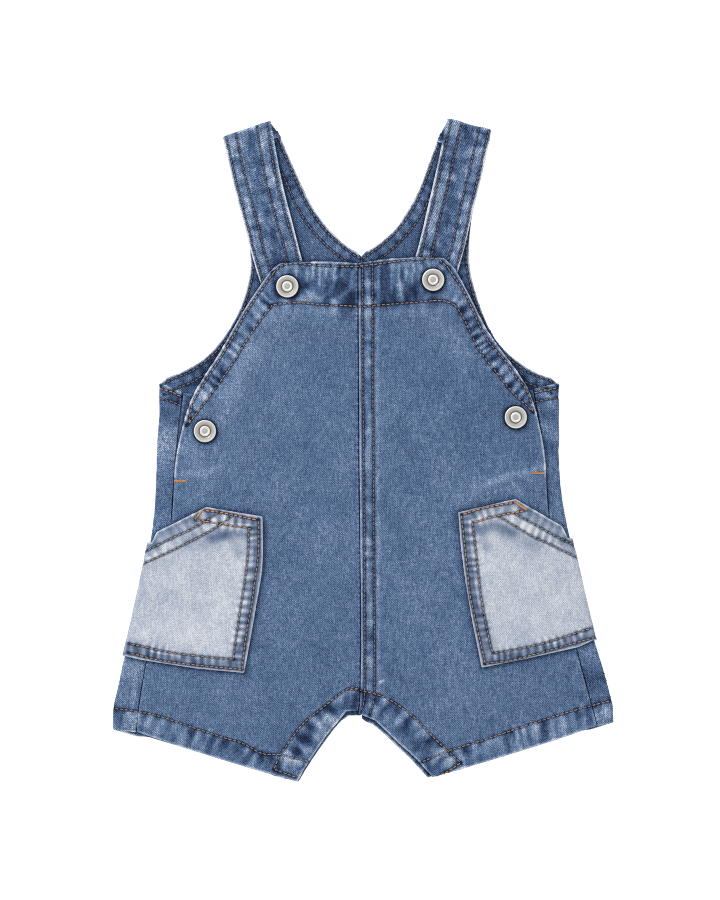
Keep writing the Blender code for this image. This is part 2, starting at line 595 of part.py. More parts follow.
def front_rows(side, pile):
    table = []
    for row in side.front:
        outer_x = row.outer_x
        if outer_x is None:
            outer_x = side_seam(side.sign, row.outer_y) - side.sign * SEAM_GAP
        table.append(row._replace(outer_x=outer_x))
    rows = []
    for row in filled(numbers(table, FRONT_KINDS), [[0, 1], [2, 3]]):
        inner, outer, rise = row[0:2], row[2:4], row[4]
        kind = Kind(*row[5:10])
        points, added = across(inner, outer, rise, kind)
        if side.name == "right" and inner[0] < 0:
            added[:2] += FELL_RISE
        share = np.linspace(0, 1, len(points))
        belly = np.clip(1 - np.abs(points[:, 1] - BELLY_Y) / BELLY_REACH, 0, 1)
        stands = LOFT * np.sin(np.pi * share) ** 0.7 * np.sin(np.pi * belly / 2)
        stands += creased(points) * np.clip(EDGE_FADE * np.minimum(share, 1 - share), 0, 1)
        heights = pile.under(points) + FOLD_ROOM + stands
        rows.append((raised(points, heights + CLOTH + added), raised(points, heights)))
    return rows


def pocket_rows(side, pile):
    """A pocket: across the front, round the side fold and on behind it."""
    rows = []
    for row in filled(side.pocket, [[0, 1], [2, 3], [4, 5]]):
        fold = np.array([back_fold(side, row[6]) + side.sign * POCKET_OUT, row[6]])
        outward = np.array([side.sign, 0.0])
        high = pile.under((fold - POCKET_FOLD * outward)[None])[0]
        arc_out, arc_in, end = turned(fold, outward, 0.0, high, CLOTH)
        keys = [row[0:2], row[2:4], row[4:6], end]
        points = [keys[0]]
        for a, b, cells in zip(keys, keys[1:], POCKET_CELLS):
            points += [a + (b - a) * (i + 1) / cells for i in range(cells)]
        points = np.array(points[:-1])
        heights = pile.under(points)
        under_x = np.linspace(end[0], end[0] - side.sign * POCKET_BEHIND, LAP_POINTS)
        under = np.column_stack([under_x, np.full(LAP_POINTS, row[6]), np.zeros(LAP_POINTS)])
        lifted = under + [0, 0, CLOTH]
        top = raised(points, heights + CLOTH + row[7])
        outside = np.vstack([top, arc_out[::-1], under])
        inside = np.vstack([raised(points, heights), arc_in[::-1], lifted])
        rows.append((outside, inside))
    return rows


def snap_cap(snap, pile, stuff):
    """A turned cap with a rolled rim, a ring round its crown and a flat base."""
    base = pile.under(np.array([[snap.x, snap.y]]))[0]
    net = bmesh.new()
    loops = []
    for ring in SNAP_RINGS:
        loop = []
        for i in range(SNAP_SIDES):
            turn = 2 * math.pi * i / SNAP_SIDES
            x = snap.x + ring.radius * math.cos(turn)
            y = snap.y + ring.radius * math.sin(turn)
            loop.append(net.verts.new((x * MM, y * MM, (base + ring.height) * MM)))
        loops.append(loop)
    net.faces.new(loops[0])
    net.faces.new(loops[-1][::-1])
    for upper, lower in zip(loops, loops[1:]):
        for i in range(SNAP_SIDES):
            j = (i + 1) % SNAP_SIDES
            net.faces.new((upper[i], lower[i], lower[j], upper[j]))
    bmesh.ops.recalc_face_normals(net, faces=net.faces)
    return finish(snap.name, net, stuff)


def outsides(rows):
    return [outside for outside, _ in rows]


def strips(rows, lowest):
    """The part of the back's rows that lies on top beside the front, above a height Y."""
    first = FLOOR_COLUMNS + len(ARC) - 1
    return [out[first:] for out, _ in rows if len(out) > FLOOR_COLUMNS and out[-1][1] > lowest]


def centre_on_origin(pieces):
    """Moves the pieces so that the origin is under the middle of their box."""
    corners = [piece.matrix_world @ v.co for piece in pieces for v in piece.data.vertices]
    for axis in (0, 1):
        reach = [corner[axis] for corner in corners]
        shift = (min(reach) + max(reach)) / 2
        for piece in pieces:
            piece.location[axis] -= shift


def clear_scene():
    for existing in list(bpy.data.objects):
        bpy.data.objects.remove(existing)


def build():
    clear_scene()
    denim = material("denim", DENIM, 0.9, 0.0)
    pale = material("faded denim", PALE_DENIM, 0.9, 0.0)
    nickel = material("snap metal", NICKEL, 0.35, 1.0)

    pile = Pile()
    for side in SIDES:
        pile.lay(pocket_under(side))
    pile.settle(REACH, EASE)

    backs = {side: back_rows(side, pile) for side in SIDES}
    for side, rows in backs.items():
        wall(f"back_{side.name}", rows, denim)
        pile.lay([inside[:FLOOR_COLUMNS] for _, inside in rows])
    pile.settle(REACH, EASE)

    for side in SIDES:
        strap = strap_rows(side, pile)
        lap = lap_rows(side, pile)
        wall(f"strap_{side.name}", strap, denim)
        wall(f"placket_{side.name}", lap, denim)
        pile.lay(outsides(strap[len(ARC) + 1 :]))
        pile.lay(outsides(lap))
        pile.lay(strips(backs[side], OPENING_END))
    pile.settle(REACH, EASE)

    fronts = {side: front_rows(side, pile) for side in SIDES}
    for side, rows in fronts.items():
        wall(f"front_{side.name}", rows, denim)
        pile.lay(strips(backs[side], -math.inf))
        pile.lay(outsides(rows))
    pile.settle(REACH, EASE)

    for side in SIDES:
        wall(f"pocket_{side.name}", pocket_rows(side, pile), pale)
    pile.settle(math.ceil(SNAP_RADIUS), 1)
    for snap in SNAPS:
        snap_cap(snap, pile, nickel)
    centre_on_origin(list(bpy.context.scene.objects))


build()
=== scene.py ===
# %% [markdown]
# # Baby denim dungarees, laid flat
#
# This lesson dresses a plain model of short denim dungarees. The model has every cut piece as a closed
# wall: two fronts, two backs, straps, pockets, underlaps and snap caps. It lacks what makes denim look like
# denim: puckers along the seams, worn pale edges, the twill and the tan stitching. Sizes are in millimetres
# in the tables and in metres in the meshes.

import math
from collections import namedtuple

import bmesh
import bpy
import numpy as np
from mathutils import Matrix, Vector
from mathutils.bvhtree import BVHTree
from mathutils.kdtree import KDTree


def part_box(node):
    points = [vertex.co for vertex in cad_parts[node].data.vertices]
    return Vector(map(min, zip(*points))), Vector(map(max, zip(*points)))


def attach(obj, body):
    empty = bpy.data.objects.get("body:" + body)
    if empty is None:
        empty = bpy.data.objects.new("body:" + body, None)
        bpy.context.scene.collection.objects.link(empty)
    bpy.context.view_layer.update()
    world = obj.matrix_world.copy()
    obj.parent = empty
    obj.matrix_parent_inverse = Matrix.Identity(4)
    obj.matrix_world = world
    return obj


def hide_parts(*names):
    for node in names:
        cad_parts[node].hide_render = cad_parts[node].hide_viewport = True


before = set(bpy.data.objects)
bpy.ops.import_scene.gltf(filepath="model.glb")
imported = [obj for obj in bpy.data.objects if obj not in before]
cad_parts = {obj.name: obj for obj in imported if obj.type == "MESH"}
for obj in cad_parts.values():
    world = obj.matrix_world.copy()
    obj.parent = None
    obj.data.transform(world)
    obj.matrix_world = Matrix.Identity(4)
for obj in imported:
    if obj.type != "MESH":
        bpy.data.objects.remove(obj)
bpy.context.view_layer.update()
MM = 0.001
print("pieces in the frame:", ", ".join(sorted(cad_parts)))

# %% [markdown]
# ## The camera
#
# The garment lies on a table, and the camera looks straight down from so far that nothing is seen at a
# slant.

# %% Look straight down
VIEW_HEIGHT = 594 * MM  # what the picture takes in from top to bottom
CAMERA_X, CAMERA_Z = -2.1 * MM, 2.4


def add(name, data):
    """A new object in the scene."""
    made = bpy.data.objects.new(name, data)
    bpy.context.scene.collection.objects.link(made)
    return made


camera_data = bpy.data.cameras.new("camera")
camera_data.sensor_fit = "VERTICAL"
camera_data.lens = camera_data.sensor_height / 2 / (VIEW_HEIGHT / 2 / CAMERA_Z)
camera = add("camera", camera_data)
camera.location = (CAMERA_X, 0, CAMERA_Z)
bpy.context.scene.camera = camera
print(f"lens {camera_data.lens:.1f} mm")

# %% [markdown]
# ## Rows of stitches
#
# Almost everything that shows on denim starts at a row of stitches. The thread pulls the cloth into
# puckers, which are deep in the doubled cloth of a hem and run out as short streaks in the single cloth
# beside it. So the rows are listed first. `pieces` is how the names of a row's pieces begin, `hem` the
# width of the doubled cloth, `fringe` the length of the streaks, `pucker` how strong the ripple is and
# `pitch` how far one is from the next. `inset` moves a row sideways off its points, so that rows can share
# an edge. A positive inset or hem lies to the left of somebody who walks along the points.

# %% The table of rows
Row = namedtuple("Row", "pieces points hem fringe pucker pitch thread inset", defaults=(0,))

BIB_EDGE_LEFT = [
    (-2.8, 123.2), (-26.5, 123.5), (-44.1, 125), (-54.9, 123.2), (-60.5, 118.4), (-67.6, 108.5),
    (-79.4, 90.8), (-91.2, 69.6), (-101.7, 52.8), (-111.2, 37.7), (-114.7, 30.4), (-117.1, 18.6),
    (-120.6, 8), (-123, -5.9), (-124.6, -16.7),
]
BIB_EDGE_RIGHT = [
    (-2.8, 123.4), (11.1, 125), (24.3, 126.8), (34.9, 127.7), (44.1, 128.4), (50.5, 127.4),
    (57.5, 121.5), (67.2, 107.3), (74.3, 93.2), (79, 82.5), (86.1, 70.7), (95.5, 60.2),
    (100.8, 51.6), (108.5, 42.3), (112, 34), (113.8, 25.8), (116.7, 13.9), (119.1, 2.1),
    (120.3, -12),
]
STRAP_LEFT_OUTER = [
    (-92.5, 206.5), (-91.2, 200.7), (-84.1, 169.7), (-77.1, 143.9), (-73.5, 128.7), (-67.6, 109.6),
]
STRAP_LEFT_INNER = [(-61, 216.5), (-55.8, 184.2), (-49.9, 160.4), (-44.1, 140.3), (-40.5, 126.1)]
STRAP_RIGHT_OUTER = [
    (84.9, 210.5), (79.1, 185.1), (72.5, 158), (67.2, 133.4), (62.5, 117.9),
]
STRAP_RIGHT_INNER = [(55.7, 218.5), (49.4, 189.8), (44.8, 168.6), (40.2, 149.9), (35.4, 128.5)]
NECK_LEFT = [
    (-54.2, 207.3), (-50.3, 196.7), (-45.6, 186.2), (-41, 175.6), (-36.4, 165), (-29.8, 154.5),
    (-21.2, 143.9), (-9.3, 133.4), (-1.4, 128.1),
]
NECK_RIGHT = [
    (48.1, 202), (44.1, 191.4), (40.2, 180.9), (36.2, 170.3), (30.9, 159.8), (23.7, 149.2),
    (13.1, 138.6), (6.5, 133.4), (-0.9, 128.1),
]
ARM_LEFT = [
    (-74.7, 140), (-73.4, 126.8), (-74.7, 117.5), (-76.7, 107), (-80, 96.4), (-84.6, 85.8),
    (-91.2, 75.3), (-99.8, 64.7), (-113.6, 54.2), (-125.5, 48.9), (-134.7, 44.3),
]
ARM_RIGHT = [
    (71.2, 149.9), (70.2, 133.4), (70.2, 121.5), (74.3, 103.7), (79.1, 89.8), (87, 73.3),
    (96.7, 62.7), (109.5, 53.1), (125, 47.2), (129.3, 44.3),
]

ROWS = [
    # the bib: its edge, the facing, and the turned armhole edges
    Row("front", BIB_EDGE_LEFT[:5], -2, 8.5, 1.5, 6.3, "tan", 2.3),
    Row("front", BIB_EDGE_LEFT[4:-3], -2, 2.5, 0.3, 6, "tan", 2.3),
    Row("front", BIB_EDGE_RIGHT[:7], 2, 8.5, 1.5, 6.3, "tan", -2.3),
    Row("front", BIB_EDGE_RIGHT[6:-3], 2, 2.5, 0.3, 6, "tan", -2.3),
    Row("front", [(-59.4, 95.7), (-44.1, 96.9), (-26.5, 95.7), (-2.7, 94.7), (8.3, 95.3), (31.8, 96.9),
        (50.7, 98.4), (60, 95.7)], 26, 15, 0.75, 8.5, "tan"),
    Row("front_left", [(-59.5, 95.7), (-72.3, 79), (-84.1, 60.1), (-92.5, 47.2), (-103.1, 32.8),
        (-115.9, 16.3)], -12, 5, 1.3, 6.2, "tan"),
    Row("front_right", [(60, 95.7), (65.9, 87.2), (76.5, 66), (90.8, 47.2), (97.8, 38.7), (111.8, 25.1)],
        12, 5, 1.3, 6.2, "tan"),
    # the felled centre seam
    Row("front", [(-0.4, 122.5), (-0.2, 79.2), (-0.1, 33), (0.6, -33), (1, -99), (1, -158.4), (-1.6, -172.6)],
        6.4, 1.5, 0.55, 11, "brown"),
    Row("front", [(6.2, 123.5), (6.4, 79.2), (6.4, 33), (6.9, -33), (7.3, -99), (7.4, -158.4), (4.2, -175)],
        -6.4, 4, 0.4, 9, "brown"),
    # the leg hems and the faced inseam
    Row(("front_left", "back_left"), [(-163.8, -170.2), (-138.3, -174.4), (-114.7, -182.1), (-91.2, -189.7),
        (-79.3, -193.3), (-66.5, -200), (-54.6, -200.9), (-37.1, -205)], -14, 6, 0.85, 8, "tan"),
    Row(("front_right", "back_right"), [(38.8, -205.6), (55.3, -198.6), (79, -191.4), (102.6, -183.2),
        (137.8, -172), (163.2, -165.3)], -14, 6, 0.85, 8, "tan"),
    Row("front", [(-2.7, -157.3), (-11.1, -157.9), (-26.5, -169.6), (-40.5, -181.5), (-54.6, -201.3),
        (-58.8, -210.3)], 15, 3, 1.15, 9.5, "tan"),
    Row("front_left", [(-58.8, -210.3), (-44.4, -215.6)], 0.5, 1, 0.2, 6, "tan"),
    Row("front", [(-9.3, -157.5), (-3.5, -158.2), (8.3, -160.9), (20.1, -166.2), (34.2, -176.8),
        (43.7, -186.7), (55.3, -198), (64.3, -206.2)], -15, 3, 1.15, 9.5, "tan"),
    Row("front_right", [(64.3, -206.2), (55.3, -212), (48.6, -215)], 0.5, 1, 0.2, 6, "gold"),
]

# the back: two rows along the neck and each armhole
for edge, skipped, side in ((NECK_LEFT, 2, -1), (NECK_RIGHT, 2, 1), (ARM_LEFT, 0, 1), (ARM_RIGHT, 0, -1)):
    ROWS += [
        Row("back", edge, side * -2, 4, 0.4, 7, "brown", side * 2),
        Row("back", edge[skipped:], side * -7, 4, 0.6, 7, "brown", side * 8.6),
    ]

# the tops of the strips beside the side openings
ROWS += [
    Row("back_left", [(-134.4, 40.6), (-126.6, 38.4), (-120.4, 35.2)], 3, 7, 0.8, 9, "gold"),
    Row("back_left", [(-134.2, 34), (-126.6, 32), (-120.6, 29.4)], 6, 16, 0.9, 11, "brown"),
    Row("back_right", [(112.6, 37.6), (120, 39.4), (129, 41)], 3, 7, 0.8, 9, "gold"),
    Row("back_right", [(113, 31.6), (120, 33), (129.2, 34.4)], 6, 16, 0.9, 11, "brown"),
]

# the straps have four rows each, two beside each edge
for strap, outer, inner, side in (
    ("strap_left", STRAP_LEFT_OUTER, STRAP_LEFT_INNER, 1),
    ("strap_right", STRAP_RIGHT_OUTER, STRAP_RIGHT_INNER, -1),
):
    ROWS += [
        Row(strap, outer, side * -2, 3, 0.4, 5, "brown", side * 2),
        Row(strap, outer, side * -6, 7, 0.5, 7.5, "brown", side * 8.6),
        Row(strap, inner, side * 2, 3, 0.4, 5, "brown", side * -2.6),
        Row(strap, inner, side * 6, 7, 0.5, 7.5, "brown", side * -9.4),
    ]

# the pockets: opening, top, inner side and bottom, two rows each
POCKET_ROWS = {}
POCKET_ROWS["pocket_left"] = [
    ([(-144.6, -67.3), (-127, -58.6), (-115.2, -53.2), (-104.6, -47.4), (-95.1, -40.9)],
        8, 3, 0.5, 6, "gold"),
    ([(-145.3, -75.1), (-127, -66.8), (-109.3, -58), (-97.5, -51.4), (-85.9, -43.2)], 7, 5, 0.5, 6, "gold"),
    ([(-103.8, -39.7), (-91.6, -41.5), (-69.3, -46.2)], 2, 3, 0.5, 6, "orange"),
    ([(-110, -45.9), (-94, -48.5), (-74.7, -51.4)], 6, 9, 0.9, 7, "orange"),
    ([(-68.7, -46.2), (-68.9, -67.3), (-71.6, -88.4), (-73.2, -100.3), (-77.3, -123.7), (-79.6, -143.8)],
        2, 3, 0.4, 6, "gold"),
    ([(-75.1, -51.4), (-76, -70.9), (-78.6, -91.6), (-80.8, -104.9), (-84.3, -128.4), (-85.5, -137.2)],
        6, 6, 0.9, 5.2, "gold"),
    ([(-79.6, -144.4), (-100.8, -142.5), (-130.3, -139), (-154.5, -133.5)], 2, 3, 0.4, 6, "gold"),
    ([(-85.5, -137.6), (-100.8, -136.4), (-124.4, -133.7), (-154, -127.5)], 6, 6, 1.05, 4.9, "gold"),
]
POCKET_ROWS["pocket_right"] = [
    ([(99.8, -42), (112.4, -48.8), (124.6, -55.6), (139.2, -62.9)], 8, 3, 0.5, 6, "gold"),
    ([(89.9, -44.1), (103.3, -52), (112.4, -57.4), (124.6, -62.9), (141.7, -71.4)],
        7, 5, 0.7, 6, "gold"),
    ([(65.5, -42.5), (78.9, -38.2), (99, -34.6)], 2, 3, 0.5, 6, "orange"),
    ([(72.8, -47.5), (86.2, -43.7), (107, -39.8)], 6, 9, 0.9, 7, "orange"),
    ([(64.6, -42.9), (66.1, -56.7), (68.5, -78.2), (71, -99), (79, -134.3), (80.2, -140.2)],
        -2, 3, 0.4, 6, "gold"),
    ([(71.8, -47.5), (73.8, -62.9), (75.8, -81.1), (78, -99), (83.7, -128.4), (86.1, -133.2)],
        -6, 6, 0.9, 5.2, "gold"),
    ([(80.4, -140.5), (102.6, -137.2), (153.3, -123.1)], -2, 3, 0.4, 6, "gold"),
    ([(86.1, -133.7), (114.3, -128.4), (152.1, -116.7)], -6, 6, 1.05, 4.9, "gold"),
]
ROWS += [Row(name, *entry) for name, entries in POCKET_ROWS.items() for entry in entries]
print(len(ROWS), "rows of stitches")

# %% [markdown]
# ## A row as a curve
#
# The few points of a row become a smooth curve, by Catmull-Rom interpolation. Moving every point along the
# curve's own sideways direction gives the inset.

# %% Turn a row into a curve
STEP = 1.5  # millimetres between the points of a curve
BETWEEN = 24  # points from one given point to the next, before they are spaced evenly


def distances(line):
    """How far along a curve each of its points is."""
    return np.concatenate([[0], np.cumsum(np.hypot(*np.diff(line, axis=0).T))])


def curve_through(points):
    """Points every STEP along a smooth curve through the given ones."""
    p = np.array(points, float)
    p = np.vstack([2 * p[0] - p[1], p, 2 * p[-1] - p[-2]])
    t = np.linspace(0, 1, BETWEEN, endpoint=False)[:, None]
    runs = []
    for a, b, c, d in zip(p, p[1:], p[2:], p[3:]):
        bend = -a + 3 * b - 3 * c + d
        runs.append(0.5 * (2 * b + (c - a) * t + (2 * a - 5 * b + 4 * c - d) * t**2 + bend * t**3))
    fine = np.vstack([*runs, p[-2:-1]])
    along = distances(fine)
    at = np.linspace(0, along[-1], max(2, round(along[-1] / STEP) + 1))
    return np.column_stack([np.interp(at, along, fine[:, k]) for k in (0, 1)])


def directions(line):
    """The unit direction at each point of a curve."""
    way = np.gradient(line, axis=0)
    return way / np.hypot(*way.T)[:, None]


def row_curve(row):
    """A row's points as a curve, moved sideways by its inset."""
    line = curve_through(row.points)
    way = directions(line)
    return line + row.inset * np.column_stack([-way[:, 1], way[:, 0]])


CURVES = [row_curve(row) for row in ROWS]
print(f"{sum(distances(line)[-1] for line in CURVES) / 1000:.1f} m of stitching")

# %% [markdown]
# ## Cloth from the plain walls
#
# Each plain wall is a closed solid of large triangles. Splitting its long edges again and again gives a
# net fine enough for puckers. Only what is seen from above needs that, so the net stays coarse where another
# layer or the table hides it, and is finest beside a row of stitches, where the cloth changes most. The
# sharp edges are marked first: they are the rim, where the wall ends in a fold or a turned hem.

# %% Split a wall finely where it shows
BESIDE_ROW, FINE, COARSE = 1.05 * MM, 1.7 * MM, 6.0 * MM  # the longest edges: sewn, seen and hidden
ROW_REACH = 3.0  # how far from a row the finest net goes, in millimetres
SPLITS = 8  # rounds of halving, enough for the longest edge
RIM_ANGLE = math.radians(55)  # an edge as sharp as this belongs to the rim
WELD = 1e-6  # corners this close are one
CLEAR = 0.15 * MM  # a ray starts this far above its own wall
UP = Vector((0, 0, 1))
SNAPS = ("snap_bib_left", "snap_bib_right", "snap_side_left", "snap_side_right")
CAP_RADIUS = 7.6  # of a snap, in millimetres


def tree_of_nets(nets):
    """One search tree for several nets, each given as its points and its faces."""
    points, faces = [], []
    for net_points, net_faces in nets:
        faces += [[len(points) + k for k in face] for face in net_faces]
        points += net_points
    return BVHTree.FromPolygons(points, faces)


def tree_of(places):
    """A search tree of places, seen from above."""
    tree = KDTree(len(places))
    for k, place in enumerate(places):
        tree.insert((place[0], place[1], 0), k)
    tree.balance()
    return tree


WALLS = tree_of_nets(
    ([v.co.copy() for v in node.data.vertices], [face.vertices for face in node.data.polygons])
    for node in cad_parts.values()
)
SNAP_CENTRES = [np.array(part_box(name)).mean(0)[:2] / MM for name in SNAPS]
ROUND = np.linspace(0, 2 * math.pi, 32)
RINGS_ROUND_SNAPS = [
    np.column_stack([x + CAP_RADIUS * np.cos(ROUND), y + CAP_RADIUS * np.sin(ROUND)])
    for x, y in SNAP_CENTRES
]
ROW_TREE = tree_of(np.vstack(CURVES + RINGS_ROUND_SNAPS))
HIDDEN, SEEN, SEWN = 1, 2, 3


def kind_of_place(place):
    """Whether a point of a wall is hidden from above, seen, or seen beside a row of stitches."""
    if WALLS.ray_cast(place + UP * CLEAR, UP)[0] is not None:
        return HIDDEN
    far = ROW_TREE.find((place.x / MM, place.y / MM, 0))[2]
    return SEWN if far < ROW_REACH else SEEN


def fine_wall(name):
    """A finely split copy of a node's wall."""
    net = bmesh.new()
    net.from_mesh(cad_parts[name].data)
    bmesh.ops.remove_doubles(net, verts=net.verts, dist=WELD)
    for edge in net.edges:
        edge.smooth = edge.calc_face_angle(0) < RIM_ANGLE
    kind = net.verts.layers.int.new("kind")
    longest = {HIDDEN: COARSE, SEEN: FINE, SEWN: BESIDE_ROW}

    def mark_new_points():
        for vert in net.verts:
            if vert[kind] == 0:
                vert[kind] = kind_of_place(vert.co)

    mark_new_points()
    for _ in range(SPLITS):
        long_edges = [
            edge for edge in net.edges
            if edge.calc_length() > longest[max(edge.verts[0][kind], edge.verts[1][kind])]
        ]
        bmesh.ops.subdivide_edges(net, edges=long_edges, cuts=1)
        many = [face for face in net.faces if len(face.verts) > 3]
        bmesh.ops.triangulate(net, faces=many, quad_method="SHORT_EDGE")
        mark_new_points()
    return net


# %% [markdown]
# ## Working on a whole net at once
#
# Tens of thousands of points are slow to change one by one, so they are read into arrays. Evening out
# moves each point towards the middle of its neighbours: a few rounds make the rim round and soft, and many
# rounds inside take away the flat facets of the plain wall.

# %% The cloth as arrays
SOFT_ROUNDS, RIM_ROUNDS = 12, 2  # rounds of evening out, and how many of them take in the rim
PULL = 0.6  # how far each round moves a point towards its neighbours' middle
FIRM = 1.6  # how wide the firm strip along the rim is, in millimetres
FAR = 99.0  # farther off than anything asks for


class Cloth:
    """The points, edges and triangles of a cloth's net, and what is known of each point."""

    def __init__(self, name):
        net = fine_wall(name)
        self.name = name
        self.kind, self.side = name.split("_")
        self.mesh = bpy.data.meshes.new(f"{name}_cloth")
        net.to_mesh(self.mesh)
        net.free()
        self.points = self.read(self.mesh.vertices, "co", np.float32, 3).astype(float)
        self.edges = self.read(self.mesh.edges, "vertices", np.int32, 2)
        self.faces = self.read(self.mesh.polygons, "vertices", np.int32, 3)
        sharp = self.read(self.mesh.attributes["sharp_edge"].data, "value", bool)
        self.rim = np.isin(np.arange(len(self.points)), self.edges[sharp])
        self.seen = self.read(self.mesh.attributes["kind"].data, "value", np.int32) != HIDDEN
        self.from_rim = self.distance_from(self.rim)
        self.even_out()
        self.fade, self.height = np.zeros((2, len(self.points)))

    @staticmethod
    def read(source, what, kind, *width):
        values = np.empty((len(source), *width), kind)
        source.foreach_get(what, values.ravel())
        return values

    def distance_from(self, chosen, rounds=10):
        """How far each point is from the chosen ones, along the edges, in millimetres."""
        far = np.where(chosen, 0.0, FAR)
        a, b = self.edges.T
        span = np.linalg.norm(self.points[a] - self.points[b], axis=1) / MM
        ends, others = np.concatenate([a, b]), np.concatenate([b, a])
        order = np.argsort(ends, kind="stable")
        ends, others, span = ends[order], others[order], np.concatenate([span, span])[order]
        starts = np.flatnonzero(np.diff(ends, prepend=-1))
        for _ in range(rounds):
            nearest = np.minimum.reduceat(far[others] + span, starts)
            far[ends[starts]] = np.minimum(far[ends[starts]], nearest)
        return far

    def mean_of_neighbours(self, values):
        a, b = self.edges.T
        count = len(self.points)
        number = np.bincount(a, minlength=count) + np.bincount(b, minlength=count)
        total = np.bincount(a, values[b], count) + np.bincount(b, values[a], count)
        return total / number

    def even_out(self):
        inside = self.seen & (self.from_rim > FIRM)
        for turn in range(SOFT_ROUNDS):
            moves = inside if turn >= RIM_ROUNDS else self.seen
            for k in range(3):
                values = self.points[:, k]
                middle = self.mean_of_neighbours(values)
                values[moves] = (1 - PULL) * values[moves] + PULL * middle[moves]

    def across(self):
        """For each triangle a vector across it, twice as long as the triangle's surface is big."""
        a, b, c = (self.points[self.faces[:, k]] for k in range(3))
        return np.cross(b - a, c - a)

    def normals(self):
        across = self.across()
        total = np.zeros_like(self.points)
        for k in range(3):
            for axis in range(3):
                total[:, axis] += np.bincount(self.faces[:, k], across[:, axis], len(self.points))
        return total / np.maximum(np.linalg.norm(total, axis=1), 1e-20)[:, None]


KINDS = ("back", "strap", "placket", "front", "pocket")
CLOTHS = {f"{kind}_{side}": Cloth(f"{kind}_{side}") for kind in KINDS for side in ("left", "right")}
for cloth in CLOTHS.values():
    print(f"{cloth.name}: {len(cloth.faces)} triangles, {cloth.seen.mean():.0%} seen")


def cloths_of(pieces):
    """The cloths whose names begin so."""
    return [cloth for name, cloth in CLOTHS.items() if name.startswith(pieces)]


# %% [markdown]
# ## The seam down the back
#
# A hair's breadth between the two plain backs stands for their seam. Light would shine through it at the
# neck, so both rims are drawn almost together.

# %% Close the back seam
WIDEST, NEARBY = 0.6 * MM, 2 * MM  # a gap as wide as this is closed, where the other rim is this near
EACH_SIDE = 0.45  # the share of the gap by which each side moves


def close_seam(left, right):
    """Draws together two walls that are sewn edge to edge."""
    rims = {cloth: cloth.points[cloth.rim].copy() for cloth in (left, right)}
    for cloth, other in ((left, right), (right, left)):
        tree = tree_of(rims[other])
        for k, (x, y, _) in enumerate(cloth.points):
            _, nearest, off = tree.find((x, y, 0))
            step = rims[other][nearest, 0] - x
            if abs(step) < WIDEST and off < NEARBY:
                cloth.points[k, 0] += EACH_SIDE * step


close_seam(CLOTHS["back_left"], CLOTHS["back_right"])

# %% [markdown]
# ## Puckers, creases and fading
#
# A pucker is a ripple along a row: its crests are rubbed pale in the wash and its hollows stay dark, and the
# same fading also paints light on the crests and shade in the hollows. So one number per point, the ripple,
# both lifts the cloth and fades it. Every row has its own random ripple.

# %% Ripples
LIFT = 0.5  # millimetres from a hollow to the middle of a full pucker
PALER_WEAR_AND_PAINTED_LIGHT = 0.26  # how much paler its crest is, from wear and from painted light
CRUMPLE = 0.9  # the share of dents without order in a hem
SLANT = 0.12  # how much a ripple leans along its row
UNEVEN = 0.55  # how much the pitch is stretched and squeezed
GROOVE_WIDTH, GROOVE_DEPTH, GROOVE_PAINTED_SHADE = 0.85, 0.22, 0.54  # where the thread is pulled in: width, depth, and how dark the painted shade in the groove is
END_REACH = 2.5  # a ripple dies out this far beyond the end of its row
NARROW, WIDE = 5, 9  # a hem narrower than the one stays even, and one wider than the other crumples more


def wander(at, seed):
    """Smooth random values between -1 and 1, which change about once in every unit."""
    knots = np.random.default_rng(seed).uniform(-1, 1, 256)
    low = np.floor(at).astype(int)
    t = at - low
    t = t * t * (3 - 2 * t)
    return knots[low % 256] * (1 - t) + knots[(low + 1) % 256] * t


def patches(x, y, seed):
    """The same in two directions."""
    knots = np.random.default_rng(seed).uniform(-1, 1, (64, 64))
    i, j = np.floor(x).astype(int), np.floor(y).astype(int)
    u, v = x - i, y - j
    u, v = u * u * (3 - 2 * u), v * v * (3 - 2 * v)
    near, far = (knots[i % 64, k % 64] * (1 - u) + knots[(i + 1) % 64, k % 64] * u for k in (j, j + 1))
    return near * (1 - v) + far * v


def beside(points, line):
    """How far points are to the left of a curve, along it, and off it, in millimetres."""
    way = directions(line)
    along = distances(line)
    tree = tree_of(line)
    nearest = np.array([tree.find((x, y, 0))[1] for x, y in points])
    off = points - line[nearest]
    left = off[:, 1] * way[nearest, 0] - off[:, 0] * way[nearest, 1]
    ahead = off[:, 0] * way[nearest, 0] + off[:, 1] * way[nearest, 1]
    beyond = np.clip(np.abs(ahead) - STEP / 2, 0, None)
    return left, along[nearest] + ahead, np.hypot(left, beyond)


def soft_step(x, low, high):
    t = np.clip((x - low) / (high - low), 0, 1)
    return t * t * (3 - 2 * t)


def seen_near(cloth, line, reach):
    """The seen points round a curve: their numbers, and where they are in millimetres."""
    near = np.flatnonzero(cloth.seen)
    flat = cloth.points[near, :2] / MM
    inside = np.all((flat > line.min(0) - reach) & (flat < line.max(0) + reach), axis=1)
    return near[inside], flat[inside]


